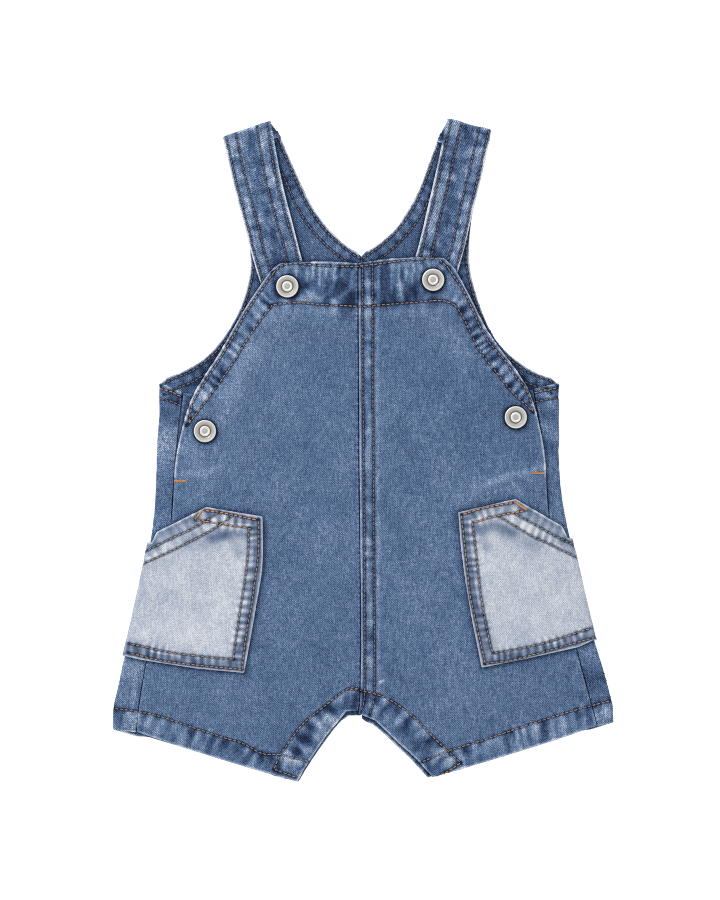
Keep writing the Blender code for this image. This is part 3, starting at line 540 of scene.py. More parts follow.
def pucker(cloth, row, line, seed):
    """Adds a row's ripple to a cloth."""
    width = abs(row.hem)
    near, flat = seen_near(cloth, line, max(width, row.fringe))
    if not len(near):
        return
    left, along, off = beside(flat, line)
    hem_side = left * np.sign(row.hem)
    on_hem = hem_side > 0
    past_end = np.sqrt(np.clip(off**2 - left**2, 0, None))
    in_reach = (off <= np.where(on_hem, width, row.fringe) + 0.5) * np.exp(-((past_end / END_REACH) ** 2))
    turns = along / row.pitch + SLANT * np.abs(left) / row.pitch
    turns += UNEVEN * wander(along / row.pitch / 2.3, seed)
    wave = np.sin(2 * math.pi * turns) * (0.65 + 0.35 * wander(along / row.pitch / 1.7, seed + 1))
    long_streaks = 0.55 + 0.45 * wander(along / row.pitch, seed + 2)
    hem_part = 1 - min(0.7, width / 20) * np.clip(hem_side / width, 0, 1)
    hem_part *= min(1.0, width / NARROW)
    fringe_part = np.clip(1 + hem_side / (row.fringe * long_streaks + 0.01), 0, 1) * 0.7
    share = np.where(on_hem, hem_part, fringe_part) * in_reach
    groove = np.exp(-((off / GROOVE_WIDTH) ** 2))
    size = 0.75 * row.pitch
    crumple = patches(flat[:, 0] / size + 99, flat[:, 1] / size + 99, seed + 3) * row.pitch / 7
    loose = min(1.6, max(1.0, width / WIDE))
    ripple = row.pucker * share * (wave + CRUMPLE * loose * crumple * np.where(on_hem, 1.0, 0.5))
    cloth.height[near] += LIFT * ripple - GROOVE_DEPTH * groove * in_reach
    # the fade: the ripple's wear with painted light and shade, and painted shade in the groove
    cloth.fade[near] += PALER_WEAR_AND_PAINTED_LIGHT * ripple - GROOVE_PAINTED_SHADE * groove * in_reach


for seed, (row, line) in enumerate(zip(ROWS, CURVES)):
    for cloth in cloths_of(row.pieces):
        pucker(cloth, row, line, 10 * seed)
print("puckers done")

# %% [markdown]
# ## Streaks and folds
#
# Worn cloth also has marks that follow no row: pale streaks on old folds, dark ones where a fold kept the
# dye, and soft folds between the points that hold the cloth. A few dark ones are painted shade: behind the
# straps' folds, at the foot of the armholes and along a pocket's outer edge. Each is a stroke: its width, its
# lift in millimetres, how much paler it is, and the points that it follows.

# %% The table of strokes
# the short pale ripples under the bib's top edge: where they are and how far down they reach
BIB_TEETH = (
    (-50.5, 117), (-43.5, 115), (-36.4, 112), (-32.6, 114), (-28.5, 110), (-23.9, 115), (-18.6, 113),
    (-13.4, 116), (10.5, 108), (19, 104), (23.7, 109), (28.3, 113), (33, 110), (38, 114), (51, 115),
)
STROKES = {}
STROKES["front"] = [
    # from the openings' lower ends
    (2.6, 0.35, 0.12, (-118, -16), (-104, -15), (-95, -12)),
    (5, 0.1, 0.07, (-114, 2), (-110, -9)),
    (2.6, 0.4, 0.15, (119, -11), (100, -17), (84, -21)),
    (5, 0.2, 0.05, (92, -20), (62, -33)),
    (4, 0.2, 0.08, (100, -26), (104, -36)),
    # across the bib
    (7, 0.35, 0.1, (-91, 23), (-80, 55), (-65, 92)),
    (9, 0.1, 0.05, (-87, 38), (-70, 62)),
    (8, 0.15, 0.08, (45, 86), (62, 68)),
    (24, 0, -0.05, (25, 62), (62, 20)),
    (6.5, -0.2, -0.24, (-8, 98), (-10, 118)),
    (5.5, -0.2, -0.28, (14, 98), (13, 120)),
    (7, -0.15, -0.19, (-44, 108), (-18, 106)),
    (7, -0.15, -0.16, (18, 106), (50, 106)),
    (1.5, 0.2, 0.26, (-15, 101), (-9, 106), (-7, 116)),
    (1.5, 0.2, 0.22, (-28, 99), (-21, 106), (-18, 113)),
    (2, 0.15, 0.18, (-55, 99), (-41, 99)),
    (1.6, 0.15, 0.14, (-30, 100), (-38, 105)),
    (1.5, 0.15, 0.16, (26, 98), (25, 108)),
    (1.6, 0.15, 0.16, (36, 98), (38, 104)),
    *((1, 0.25, 0.33, (x, 120.5), (x - 0.6, low)) for x, low in BIB_TEETH),
    (2.5, 0.1, 0.07, (-55, 91), (-3, 91)),
    (2.5, 0.1, 0.07, (10, 91), (55, 93)),
    # where the dye stayed in the facings of the inseams
    (3, -0.2, -0.13, (-8, -161), (-7, -170)),
    (3.5, -0.2, -0.13, (-33, -184), (-37, -188)),
    (3, -0.2, -0.13, (-48, -194), (-52, -197)),
    (1.4, 0.2, 0.18, (-39, -198), (-45, -190)),
    (1.4, 0.2, 0.22, (-24, -176), (-29, -181)),
    (3, -0.2, -0.13, (9, -166), (11, -174)),
    (3.5, -0.2, -0.13, (20, -178), (24, -184)),
    (3.5, -0.2, -0.13, (34, -193), (38, -198)),
    (1.4, 0.2, 0.18, (18, -168), (14, -174)),
    (1.4, 0.2, 0.18, (28, -176), (24, -180)),
    (1.4, 0.2, 0.18, (42, -190), (36, -200)),
    # the felled seam: pale in the middle, shade under its fold, and a pale ridge along its other side
    (1.7, 0, 0.1, (3, 121), (3, 33), (4, -99), (4.2, -158)),
    (0.9, -0.1, -0.26, (-3.4, 122), (-3.2, 33), (-2.2, -99), (-2.2, -158)),
    (1.3, 0.15, 0.13, (9.4, 95), (9.4, 33), (10, -99), (10.4, -158)),
]
STROKES["back_left"] = [
    # painted shade in the hollows at the foot of the armholes
    (3, 0, -0.25, (-116, 41.5), (-107, 46)),
]
# painted shade in the hollow at the foot of the right armhole
STROKES["back_right"] = [(2.5, 0, -0.18, (110, 42), (104, 46))]
STROKES["back"] = [
    # blotches down the strips beside the side seams
    (5, -0.3, -0.18, (-133, 25), (-124, 22)),
    (7, 0.2, 0.08, (-134, 8), (-124, 4)),
    (2, -0.2, -0.18, (-122, 34), (-121, 5)),
    (4.5, -0.3, -0.16, (122, 24), (131, 20)),
    (4.5, -0.3, -0.14, (122, 2), (131, -2)),
    (4.5, 0.2, 0.1, (121, 12), (131, 9)),
    (4, -0.2, -0.16, (-152, -172), (-163, -170)),
    (6, -0.2, -0.16, (153, -150), (162, -147)),
    (4, -0.2, -0.12, (154, -168), (163, -166)),
    (1.2, 0.1, 0.2, (-149.5, -140), (-152.5, -182)),
]
STROKES["strap_left"] = [
    # painted shadow on the cloth behind the fold of each strap
    (2.8, 0, -0.55, (-57.5, 213), (-54, 205)),
    # the hollow along each strap
    (6, -0.2, -0.12, (-76.5, 211.5), (-73, 192), (-70, 178), (-67, 160), (-60, 140), (-56, 127), (-51, 108)),
]
STROKES["strap_right"] = [
    # painted shadow behind the fold of the strap
    (2.8, 0, -0.55, (50.5, 213), (53.5, 203)),
    (6, -0.2, -0.13, (70, 214), (64.5, 188), (59, 163), (52, 135), (48, 118)),
]
STROKES["pocket_left"] = [
    # the pockets keep their dye under the peaks
    (3.5, 0, -0.26, (-99, -58), (-88, -54.5), (-78, -56)),
    (3, 0, -0.14, (-90, -57), (-85, -61), (-82, -68)),
    (5, 0, -0.1, (-112, -62), (-96, -58)),
    # painted shadow along the outer edge, where the pocket turns round the side
    (5, 0, -0.08, (-146, -78), (-159, -135)),
    (6, 0, -0.02, (-142, -70), (-102, -49)),
    (4, 0, -0.2, (-71.5, -50), (-75, -95), (-81, -130)),
    (4, 0, -0.18, (-84, -140), (-120, -137), (-152, -130)),
]
STROKES["pocket_right"] = [
    (3.5, 0, -0.26, (76, -52), (87, -50), (98, -54)),
    (3, 0, -0.14, (79, -56), (81, -64)),
    (5, 0, -0.1, (94, -56), (112, -62)),
    (6, 0, -0.02, (104, -47), (140, -66)),
    (4, 0, -0.2, (68, -48), (74, -95), (82, -128)),
    (4, 0, -0.18, (84, -137), (120, -129), (150, -120)),
]
# dark patches down the hollow of each strap
for name, places in (
    ("strap_left", ((-74, 206), (-69, 189), (-67, 176), (-63, 161), (-58, 144), (-54, 130))),
    ("strap_right", ((67, 212), (62, 189), (58, 175), (58, 164), (54, 155), (51, 142), (47, 131))),
):
    STROKES[name] += [(2.6, -0.1, -0.16, (x, y), (x + 1, y - 5)) for x, y in places]


def draw_stroke(cloth, width, lift, paler, *points):
    """Adds a stroke's lift and fading to a cloth."""
    line = curve_through(points)
    near, flat = seen_near(cloth, line, 2.5 * width)
    if len(near):
        share = np.exp(-((beside(flat, line)[2] / width) ** 2))
        cloth.height[near] += lift * share
        cloth.fade[near] += paler * share


for pieces, strokes in STROKES.items():
    for cloth in cloths_of(pieces):
        for stroke in strokes:
            draw_stroke(cloth, *stroke)
print(sum(map(len, STROKES.values())), "strokes")

# %% [markdown]
# ## What the material has to know
#
# The height now moves each point along its normal. The fading, the distance from the rim and the shade
# beside a higher layer go into the mesh as attributes, which the material reads. The place in the weave,
# which lies along each piece's own threads, goes in too, as a vector.

# %% Shape each cloth and keep its attributes
BASE_FADE = {"back": 0.42, "strap": 0.60, "placket": 0.36, "front": 0.49, "pocket": 0.90}
PALEST = 0.64  # above this the ripples fade the cloth less, so that none of them turns white
RIM_DYE, RIM_DYE_REACH = 0.36, 6.5  # a pocket is darker along its rim, and how far in, in millimetres
RIGHT_SIDE = 0.12  # the strips beside the front show the back's right side, which is paler
LUMPS = {"back": 0.09, "strap": 0.09}  # how blotched the big patches of fading are
TURN = {"strap_left": 14, "strap_right": -14, "pocket_left": 3, "pocket_right": -4, "front_left": 1}
SHADE_REACH = 1.6  # how far the shade beside a layer reaches, in millimetres
SNAP_SHADE, SNAP_REACH = 1.9, 0.7  # round a snap the cloth is pressed in: how strong the painted shade is there, and how far it reaches
HEM_STEP = 2.2  # how much shorter than the front the back is, in millimetres
TOP_SHIFT = {"back_left": (-2.5, 5.0), "back_right": (3.0, 7.5)}
SIDE_TOPS = {"front": -18, "back": 42}  # the heights where the strips beside the side seams begin
FOLD_Y = 204  # the straps' folds are above this


def shade_under(cloth):
    """Dark beside the rim of any cloth that lies higher: 1 at the rim and less further out."""
    rims = np.vstack([other.points[other.rim] for other in CLOTHS.values() if other is not cloth])
    tree = tree_of(rims)
    shade = np.zeros(len(cloth.points))
    for k in np.flatnonzero(cloth.seen):
        x, y, z = cloth.points[k]
        _, nearest, off = tree.find((x, y, 0))
        if rims[nearest, 2] > z - 0.3 * MM:
            shade[k] = math.exp(-off / MM / SHADE_REACH)
    # painted shade on the cloth round each snap cap
    for x, y in SNAP_CENTRES:
        off = np.hypot(cloth.points[:, 0] / MM - x, cloth.points[:, 1] / MM - y) - CAP_RADIUS
        shade = np.maximum(shade, SNAP_SHADE * np.exp(-np.clip(off, 0, None) / SNAP_REACH))
    return shade


def base_fade(cloth):
    """How faded a cloth is where nothing rubs or folds it."""
    fade = np.full(len(cloth.points), BASE_FADE[cloth.kind])
    if cloth.kind == "pocket":
        fade -= RIM_DYE * np.exp(-np.clip(cloth.from_rim - 1.0, 0, None) / RIM_DYE_REACH)
    if cloth.kind == "back":
        outside = np.abs(cloth.points[:, 0]) > 100 * MM
        fade[outside & (cloth.points[:, 1] < SIDE_TOPS["back"] * MM)] += RIGHT_SIDE
    return fade


def wear(cloth):
    """How much the edges are rubbed: not where they are sewn up, and less beside the side seams."""
    x, y = np.abs(cloth.points[:, 0]) / MM, cloth.points[:, 1] / MM
    if cloth.kind == "strap":
        return np.where(y > FOLD_Y, 0.4, 1.0)
    at_side = (x > 103) & (y < SIDE_TOPS.get(cloth.kind, -math.inf)) & (y > -185)
    at_seam = (x < 3) & (cloth.kind == "back")
    return np.where(at_seam, 0.0, np.where(at_side, 0.25, 1.0))


def store(mesh, name, values):
    """Keeps a number or a vector for each point of a mesh."""
    values = np.ascontiguousarray(values, dtype=np.float32)
    kind, field = ("FLOAT", "value") if values.ndim == 1 else ("FLOAT_VECTOR", "vector")
    mesh.attributes.new(name, kind, "POINT").data.foreach_set(field, values.ravel())


def shift_back(cloth):
    """Shortens the back's hem a little, and moves its top up behind the fold of the strap."""
    x, y = cloth.points[:, 0] / MM, cloth.points[:, 1] / MM
    shorter = soft_step(-y, 150, 175) * soft_step(-np.abs(x), -152, -140) * soft_step(np.abs(x), 58, 72)
    cloth.points[:, 1] += HEM_STEP * MM * shorter
    top = soft_step(y, 186, 205) * MM
    cloth.points[:, :2] += top[:, None] * np.array(TOP_SHIFT[cloth.name])


def weave(cloth, x, y, layer):
    """Where each point is in the weave, whose threads lie along the piece."""
    turn = math.radians(TURN.get(cloth.name, 0))
    across = x * math.cos(turn) + y * math.sin(turn)
    up = y * math.cos(turn) - x * math.sin(turn)
    return np.column_stack([across, up, cloth.points[:, 2] / MM + 7 * layer])


for layer, cloth in enumerate(CLOTHS.values()):
    if cloth.kind == "back":
        shift_back(cloth)
    x, y = cloth.points[:, 0] / MM, cloth.points[:, 1] / MM
    lumps = patches(x / 27 + 90, y / 31 + 90, 5) + 0.5 * patches(x / 13 + 90, y / 12 + 90, 6)
    cloth.height += 0.25 * lumps * cloth.seen
    cloth.fade += LUMPS.get(cloth.kind, 0.035) * lumps
    if cloth.kind == "strap":
        blotches = patches(x / 4.2 + 90, y / 5.6 + 90, 9)
        cloth.fade += 0.17 * blotches
        cloth.height += 0.12 * blotches * cloth.seen
    calm = np.clip(cloth.from_rim / FIRM, 0.35, 1)
    shade = shade_under(cloth)
    cloth.points += cloth.normals() * (cloth.height * calm * cloth.seen * MM)[:, None]
    cloth.points[:, 2] = np.maximum(cloth.points[:, 2], 0)
    cloth.mesh.vertices.foreach_set("co", cloth.points.astype(np.float32).ravel())
    fade = cloth.fade + base_fade(cloth)
    if cloth.kind != "pocket":
        fade -= 0.55 * np.clip(fade - PALEST, 0, None)
    store(cloth.mesh, "weave", weave(cloth, x, y, layer))
    store(cloth.mesh, "fade", fade)
    store(cloth.mesh, "edge", np.minimum(cloth.from_rim, 20))
    store(cloth.mesh, "shade", shade)
    store(cloth.mesh, "wear", wear(cloth))
    cloth.mesh.polygons.foreach_set("use_smooth", [True] * len(cloth.mesh.polygons))
    cloth.mesh.update()
print("shaped", ", ".join(CLOTHS))

# %% [markdown]
# ## Reckoning with shader nodes
#
# A denim material is mostly sums: the fading, plus a little twill, minus the shade. With a small class for
# a node's output, such a sum can be written as a sum.

# %% Wires and graphs
def linear(red, green, blue):
    """The colour that a renderer needs for a screen colour of 0 to 255."""
    return (*(((value / 255 + 0.055) / 1.055) ** 2.4 for value in (red, green, blue)), 1.0)


class Wire:
    """The output of a shader node."""

    def __init__(self, graph, socket):
        self.graph, self.socket = graph, socket

    def sum(self, operation, *values):
        return self.graph.node("Math", {"operation": operation}, dict(enumerate(values)))

    def __add__(self, other):
        return self.sum("ADD", self, other)

    def __sub__(self, other):
        return self.sum("SUBTRACT", self, other)

    def __rsub__(self, other):
        return self.sum("SUBTRACT", other, self)

    def __mul__(self, other):
        return self.sum("MULTIPLY", self, other)

    __radd__, __rmul__ = __add__, __mul__

    def wave(self):
        return self.sum("SINE", self)

    def step(self, low, high):
        """0 below low, 1 above high, and smooth between."""
        values = {"Value": self, "From Min": low, "From Max": high}
        return self.graph.node("MapRange", {"interpolation_type": "SMOOTHSTEP"}, values)


class Graph:
    """A material's nodes."""

    def __init__(self, name):
        self.material = bpy.data.materials.new(name)
        self.material.use_nodes = True
        self.tree = self.material.node_tree
        self.tree.nodes.clear()

    def node(self, kind, settings, values, output=0):
        node = self.tree.nodes.new("ShaderNode" + kind)
        for key, value in settings.items():
            setattr(node, key, value)
        for key, value in values.items():
            if isinstance(value, Wire):
                self.tree.links.new(value.socket, node.inputs[key])
            else:
                node.inputs[key].default_value = value
        return Wire(self, node.outputs[output])

    def attribute(self, name, output="Fac"):
        return self.node("Attribute", {"attribute_name": name}, {}, output)

    def noise(self, at, size, detail=2.0):
        """Random values between about -0.5 and 0.5 with grains of the given width and length."""
        placed = self.node("Mapping", {}, {"Vector": at, "Scale": tuple(1 / width for width in size)})
        return self.node("TexNoise", {}, {"Vector": placed, "Scale": 1.0, "Detail": detail}) - 0.5

    def ramp(self, factor, stops):
        """A colour for each factor, by stops of (factor, screen colour)."""
        wire = self.node("ValToRGB", {}, {"Fac": factor})
        elements = wire.socket.node.color_ramp.elements
        for end in (0, -1):
            elements[end].position, elements[end].color = stops[end][0], linear(*stops[end][1])
        for at, colour in stops[1:-1]:
            elements.new(at).color = linear(*colour)
        return wire

    def finish(self, **values):
        surface = self.node("BsdfPrincipled", {}, {key.replace("_", " "): v for key, v in values.items()})
        output = self.tree.nodes.new("ShaderNodeOutputMaterial")
        self.tree.links.new(surface.socket, output.inputs["Surface"])
        return self.material


# %% [markdown]
# ## Denim
#
# Denim is a twill of blue lengthwise threads over white crosswise ones. The blue ones are dyed only on
# their surface, so wear shows white. From here the twill reads as fine slanting dashes, broken by thicker
# threads. All of it only makes the cloth paler or darker, and one colour ramp turns the sum into the blues
# of washed denim, so that a pale place also becomes greyer, as in life.

# %% The denim materials
# each tone is a factor and a screen colour
BLUES = [
    (0.0, (17, 28, 54)), (0.22, (44, 65, 99)), (0.47, (79, 104, 139)), (0.62, (103, 127, 160)),
    (0.80, (153, 165, 186)), (1.0, (213, 217, 224)),
]
FADED = [
    (0.0, (26, 34, 56)), (0.22, (54, 68, 96)), (0.47, (88, 104, 132)), (0.62, (118, 133, 158)),
    (0.80, (160, 169, 185)), (1.0, (216, 219, 224)),
]
WALE = 1.5  # millimetres between two wales of the twill, measured across


def denim(name, worn, contrast=1.0, tones=BLUES):
    """A denim: how pale its rubbed rims are, how strong its grain is, and its colours."""
    graph = Graph(name)
    weave = graph.attribute("weave", "Vector")
    x, y = (graph.node("SeparateXYZ", {}, {"Vector": weave}, axis) for axis in "XY")
    broken = graph.noise(weave, (1.3, 2.4, 40.0))
    twill = ((x + y) * (2 * math.pi / WALE) + broken * 5.0).wave()
    threads = graph.noise(weave, (0.9, 5.0, 40.0))
    crossing = graph.noise(weave, (4.0, 0.9, 40.0))
    specks = graph.noise(weave, (1.0, 1.0, 1.0), 1.0)
    clouds = graph.noise(weave, (10.0, 12.0, 12.0), 3.0)
    grain = twill * 0.15 + threads * 0.5 + crossing * 0.3 + specks * 0.55
    edge = graph.attribute("edge") + graph.noise(weave, (2.5, 2.5, 2.5)) * 1.6
    shade = graph.attribute("shade")
    rubbed = (1 - edge.step(0.3, 2.0)) * (1 - shade.step(0.2, 0.9)) * graph.attribute("wear") * worn
    fade = graph.attribute("fade") - 0.03 + grain * (contrast - rubbed)
    fade = fade + clouds * 0.16 + rubbed - shade * 0.36
    bump = twill * 0.25 + threads * 1.2 + crossing + specks
    normal = graph.node("Bump", {}, {"Height": bump, "Strength": 1.0, "Distance": 0.09 * MM})
    return graph.finish(Base_Color=graph.ramp(fade, tones), Roughness=0.85, Normal=normal,
                        Specular_IOR_Level=0.2)


DENIMS = {
    "back": denim("denim_inside", 0.48, 1.15),
    "strap": denim("strap_denim", 0.42, 1.25),
    "placket": denim("underlap_denim", 0.2),
    "front": denim("front_denim", 0.33),
    "pocket": denim("pocket_denim", 0.34, 0.48, FADED),
}
print("denims:", ", ".join(material.name for material in DENIMS.values()))

# %% [markdown]
# ## The cloth pieces
#
# Each shaped cloth stands for its plain wall, which is hidden, and gets its denim. A wall has two faces, so
# half of its surface is the cloth.

# %% Make the cloth objects
for cloth in CLOTHS.values():
    kind = cloth.kind
    piece = add(f"{cloth.name}_cloth", cloth.mesh)
    cloth.mesh.materials.append(DENIMS[kind])
    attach(piece, "root")
    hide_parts(cloth.name)
    width, length = np.ptp(cloth.points[:, 0]), np.ptp(cloth.points[:, 1])
    area = float(np.linalg.norm(cloth.across(), axis=1).sum()) / 4
    print(f"{cloth.name}: {width / MM:.0f} x {length / MM:.0f} mm, {area * 1e4:.0f} square centimetres")

# %% [markdown]
# ## Stitches
#
# A stitch is a short thread that dives into the cloth at both ends. One is modelled, and copied along
# every row. A ray from above finds the cloth under each copy, and a copy is left out where the row runs
# under another layer.

# %% One stitch
STITCH_PITCH, STITCH_LENGTH, STITCH_RADIUS = 3.1, 3.1, 0.37  # in millimetres
SIDES, RINGS = 6, 7
TOP, DIVE = 0.16, 0.34  # how high a stitch lies on the cloth, and how far its ends dive


def stitch_shape():
    """A thread along X, as points in millimetres and faces."""
    points, faces = [], []
    for ring in range(RINGS):
        t = ring / (RINGS - 1) * 2 - 1
        radius = STITCH_RADIUS * math.sqrt(max(0.12, 1 - t**4))
        height = TOP - DIVE * t**4
        for side in range(SIDES):
            turn = 2 * math.pi * side / SIDES
            points.append((t * STITCH_LENGTH / 2, radius * math.cos(turn), height + radius * math.sin(turn)))
    for ring in range(RINGS - 1):
        for side in range(SIDES):
            a, b = ring * SIDES + side, ring * SIDES + (side + 1) % SIDES
            faces.append((a, a + SIDES, b + SIDES, b))
    faces.append(tuple(range(SIDES)))
    faces.append(tuple(reversed(range((RINGS - 1) * SIDES, RINGS * SIDES))))
    return np.array(points), faces


STITCH_POINTS, STITCH_FACES = stitch_shape()
# how near each point is to a stitch's end, where the thread material paints shade
STITCH_ENDS = np.abs(STITCH_POINTS[:, 0] / (STITCH_LENGTH / 2)) ** 3
print(len(STITCH_FACES), "faces in a stitch")

# %% Copy it along the rows
SURFACE = tree_of_nets((cloth.points.tolist(), cloth.faces.tolist()) for cloth in CLOTHS.values())
OWNERS = [cloth.name for cloth in CLOTHS.values() for _ in cloth.faces]
HIGH = 50 * MM


class Thread:
    """Everything that is sewn with one thread, as one mesh."""

    def __init__(self):
        self.points, self.faces, self.shades, self.ends, self.count = [], [], [], [], 0

    def put(self, place, way, normal, length=1.0, thick=1.0, shade=0.0):
        across = normal.cross(way).normalized()
        along = across.cross(normal)
        axes = np.array([along * length, across * thick, normal * thick])
        self.points.append(STITCH_POINTS @ axes * MM + np.array(place))
        first = self.count * len(STITCH_POINTS)
        self.faces += [[first + k for k in face] for face in STITCH_FACES]
        self.shades.append(np.full(len(STITCH_POINTS), shade))
        self.ends.append(STITCH_ENDS)
        self.count += 1


THREADS = {name: Thread() for name in ("tan", "brown", "gold", "orange")}
dice = np.random.default_rng(7)


def sew(row, line):
    """Puts stitches along a row, wherever its own cloth shows."""
    thread = THREADS[row.thread]
    way = directions(line)
    along = distances(line)
    for at in np.arange(STITCH_PITCH / 2, along[-1], STITCH_PITCH):
        at += dice.uniform(-0.15, 0.15)
        x, y, dx, dy = (np.interp(at, along, values) for values in (*line.T, *way.T))
        hit, normal, index, _ = SURFACE.ray_cast(Vector((x * MM, y * MM, HIGH)), -UP)
        length, thick, shade = dice.uniform(0.9, 1.08), dice.uniform(0.85, 1.1), dice.uniform(-1, 1)
        if hit is not None and OWNERS[index].startswith(row.pieces):
            thread.put(hit, Vector((dx, dy, 0)), normal, length, thick, shade)


for row, line in zip(ROWS, CURVES):
    sew(row, line)
print({name: thread.count for name, thread in THREADS.items()})

# %% [markdown]
# ## Bartacks
#
# The ends of the openings and the pockets' peaks are locked with a bartack, a dense zigzag. Stitches laid
# across the bar, one beside the other, look just like it.

# %% Sew the bartacks
BARS = [
    ((-124.8, -20.4), (-116.5, -20.4), 1.4),
    ((111.4, -15.3), (119.1, -15.3), 1.4),
    ((-105.5, -39.4), (-110.5, -45.5), 1.5),
    ((99.6, -34.3), (107.9, -39.6), 1.5),
]
BAR_PITCH, BAR_LEAN = 0.55, 0.15
for start, end, width in BARS:
    start, end = np.array(start), np.array(end)
    run = np.hypot(*(end - start))
    way = (end - start) / run
    for at in np.arange(0, run, BAR_PITCH):
        x, y = start + way * at
        hit, normal, index, _ = SURFACE.ray_cast(Vector((x * MM, y * MM, HIGH)), -UP)
        across = Vector((-way[1] + BAR_LEAN, way[0], 0))
        if hit is not None:
            THREADS["orange"].put(hit, across, normal, width / STITCH_LENGTH, 0.9, dice.uniform(-1, 1))

THREAD_COLOURS = {
    "tan": (152, 128, 112), "brown": (118, 103, 100), "gold": (160, 134, 106), "orange": (210, 144, 70),
}
# the navy of the painted shade in the hole at each end of a stitch
SHADE_IN_THE_HOLE = (34, 42, 66)


def thread_with_shaded_ends(name, colour):
    """Thread that is worn in places, with painted shade at both ends where it goes into the cloth."""
    graph = Graph(name)
    at = graph.node("TexCoord", {}, {}, "Object")
    worn = graph.attribute("shade") * 0.07 + graph.noise(at, (4 * MM, 4 * MM, 4 * MM)) * 0.5 + 0.7
    dark, pale = (tuple(value * part for value in colour) for part in (0.74, 1.12))
    # painted shade at the stitch ends, where the thread goes into its hole
    hole = graph.attribute("ends").step(0.15, 0.6)
    colour = graph.ramp(worn - hole * 0.6, [(0.15, SHADE_IN_THE_HOLE), (0.45, dark), (0.7, colour), (0.95, pale)])
    return graph.finish(Base_Color=colour, Roughness=0.7)


for name, thread in THREADS.items():
    mesh = bpy.data.meshes.new(f"{name}_stitches")
    mesh.from_pydata(np.vstack(thread.points).tolist(), [], thread.faces)
    store(mesh, "shade", np.concatenate(thread.shades))
    store(mesh, "ends", np.concatenate(thread.ends))
    mesh.polygons.foreach_set("use_smooth", [True] * len(mesh.polygons))
    mesh.materials.append(thread_with_shaded_ends(f"{name}_thread", THREAD_COLOURS[name]))
    piece = add(f"{name}_stitches", mesh)
    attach(piece, "root")
    print(f"{name}: {len(mesh.polygons)} faces")

# %% [markdown]
# ## Snaps
#
# A snap's cap is pressed from sheet metal: a flat ring with a rolled rim, a groove, and a low dome in the
# middle. It starts as a disc, whose top is inset and raised or lowered once for each ring.

# %% Press the caps
RING_STEPS = [  # radius and height above the base, both in millimetres
    (7.55, 1.0), (7.4, 1.8), (7.15, 2.2), (6.8, 2.35), (6.4, 2.25), (5.4, 2.05), (4.3, 1.95), (3.9, 1.6),
    (3.6, 1.65), (3.3, 2.2), (3.0, 2.4), (2.5, 2.4), (2.1, 2.15), (1.6, 2.15), (1.0, 2.3), (0.4, 2.35),
]
CAP_SIDES = 48
DISC = 0.6  # how thick the disc is at first, in millimetres


def cap(name):
    """A snap cap in the place of its plain node."""
    low, high = (Vector(corner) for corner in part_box(name))
    middle = (low + high) / 2
    bpy.ops.object.select_all(action="DESELECT")
    bpy.ops.mesh.primitive_cylinder_add(vertices=CAP_SIDES, radius=CAP_RADIUS * MM, depth=DISC * MM,
                                        location=(middle.x, middle.y, low.z + DISC / 2 * MM))
    piece = bpy.context.object
    piece.name = f"{name}_cap"
    bpy.ops.object.mode_set(mode="EDIT")
    bpy.ops.mesh.select_mode(type="FACE")
    bpy.ops.mesh.select_all(action="DESELECT")
    net = bmesh.from_edit_mesh(piece.data)
    max(net.faces, key=lambda face: face.calc_center_median().z).select_set(True)
    bmesh.update_edit_mesh(piece.data)
    radius, height = CAP_RADIUS, DISC
    shrink = math.cos(math.pi / CAP_SIDES)
    for ring_radius, ring_height in RING_STEPS:
        bpy.ops.mesh.inset(thickness=(radius - ring_radius) * shrink * MM, depth=(ring_height - height) * MM)
        radius, height = ring_radius, ring_height
    bpy.ops.object.mode_set(mode="OBJECT")
    bpy.ops.object.transform_apply(location=True, rotation=False, scale=False)
    bpy.ops.object.shade_smooth_by_angle(angle=math.radians(50))
    far = [math.hypot(v.co.x - middle.x, v.co.y - middle.y) / MM for v in piece.data.vertices]
    store(piece.data, "radius", far)
    return piece


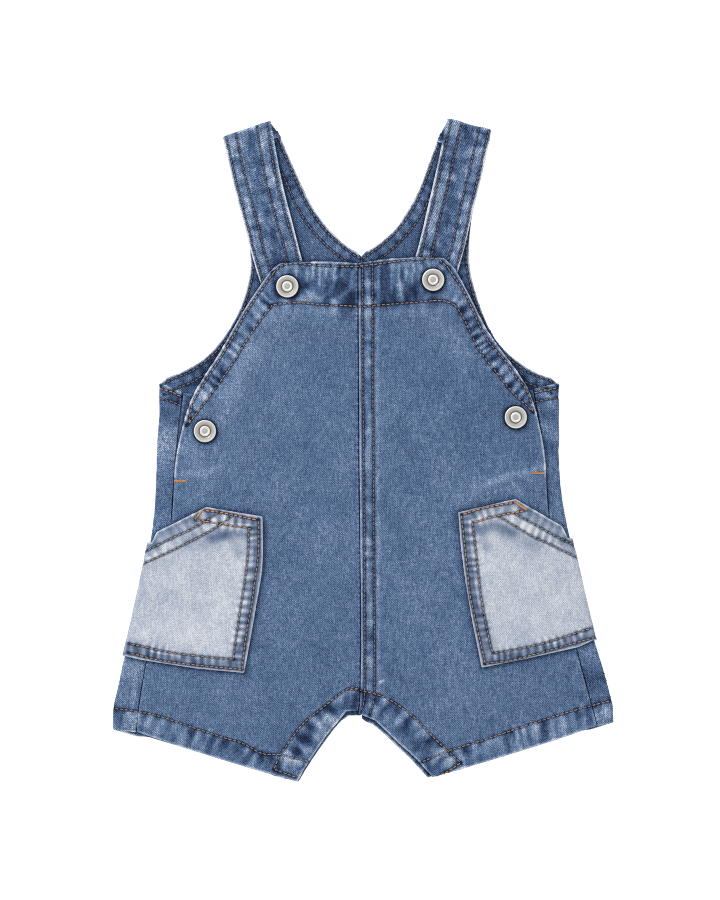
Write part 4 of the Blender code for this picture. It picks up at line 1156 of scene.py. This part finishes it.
def snap_metal_painted_light():
    """Dull nickel, with painted highlights on what stands out, painted shade in the groove, and round the rim
    painted shadow and dark patina.
    """
    graph = Graph("snap_nickel")
    radius = graph.attribute("radius")
    at = graph.node("TexCoord", {}, {}, "Object")
    dirt = graph.noise(at, (0.9 * MM, 0.9 * MM, 0.9 * MM), 3.0)
    # by radius: painted highlights on the raised rings and rim, painted shade in the groove, painted shadow
    # and dark patina at the edge
    tones = graph.ramp((radius + dirt * 0.3) * 0.125, [
        (0.0, (186, 184, 178)), (0.20, (176, 174, 168)), (0.27, (226, 225, 220)), (0.40, (236, 235, 230)),
        (0.455, (92, 89, 84)), (0.55, (158, 156, 149)), (0.64, (178, 176, 169)), (0.80, (196, 194, 186)),
        (0.86, (238, 237, 233)), (0.90, (214, 213, 209)), (0.925, (24, 25, 32)),
    ])
    bump = graph.node("Bump", {}, {"Height": dirt, "Strength": 1.0, "Distance": 0.05 * MM})
    return graph.finish(Base_Color=tones, Metallic=0.55, Roughness=0.42, Normal=bump)


NICKEL_PAINTED_LIGHT = snap_metal_painted_light()
for name in SNAPS:
    piece = cap(name)
    piece.data.materials.clear()
    piece.data.materials.append(NICKEL_PAINTED_LIGHT)
    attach(piece, "root")
    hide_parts(name)
    print(f"{piece.name}: {len(piece.data.polygons)} faces")

# %% [markdown]
# ## Light
#
# The photograph was taken on a white table in soft light from the upper left. A white world fills the
# shadows, and one large lamp gives the puckers their light and dark sides. The plain view transform keeps
# the blues as they were chosen.

# %% The table, the lamp and the sky
bpy.ops.mesh.primitive_plane_add(size=6.0, location=(0, 0, 0))
floor = bpy.context.object
floor.name = "floor"
GLOW = 0.8  # the table is lit from below, as a light table is, so that hardly any shadow shows on it
floor.data.materials.append(Graph("table_white").finish(
    Base_Color=(0.35, 0.35, 0.35, 1.0), Roughness=0.9,
    Emission_Strength=GLOW, Emission_Color=(1.0, 1.0, 1.0, 1.0)))

SKY, LAMP = 0.86, 46.0
scene = bpy.context.scene
scene.world = bpy.data.worlds.new("sky")
scene.world.use_nodes = True
background = scene.world.node_tree.nodes["Background"]
background.inputs["Color"].default_value = (1, 1, 1, 1)
background.inputs["Strength"].default_value = SKY

lamp_data = bpy.data.lights.new("lamp", "AREA")
lamp_data.energy, lamp_data.shape, lamp_data.size = LAMP, "DISK", 1.2
lamp = add("lamp", lamp_data)
lamp.location = (-1.6, 1.9, 1.7)
lamp.rotation_euler = (-lamp.location).to_track_quat("-Z", "Y").to_euler()
scene.view_settings.view_transform = "Standard"
scene.cycles.denoising_prefilter = "NONE"  # keeps the grain of the twill
scene.cycles.filter_width = 1.0
print("lit")
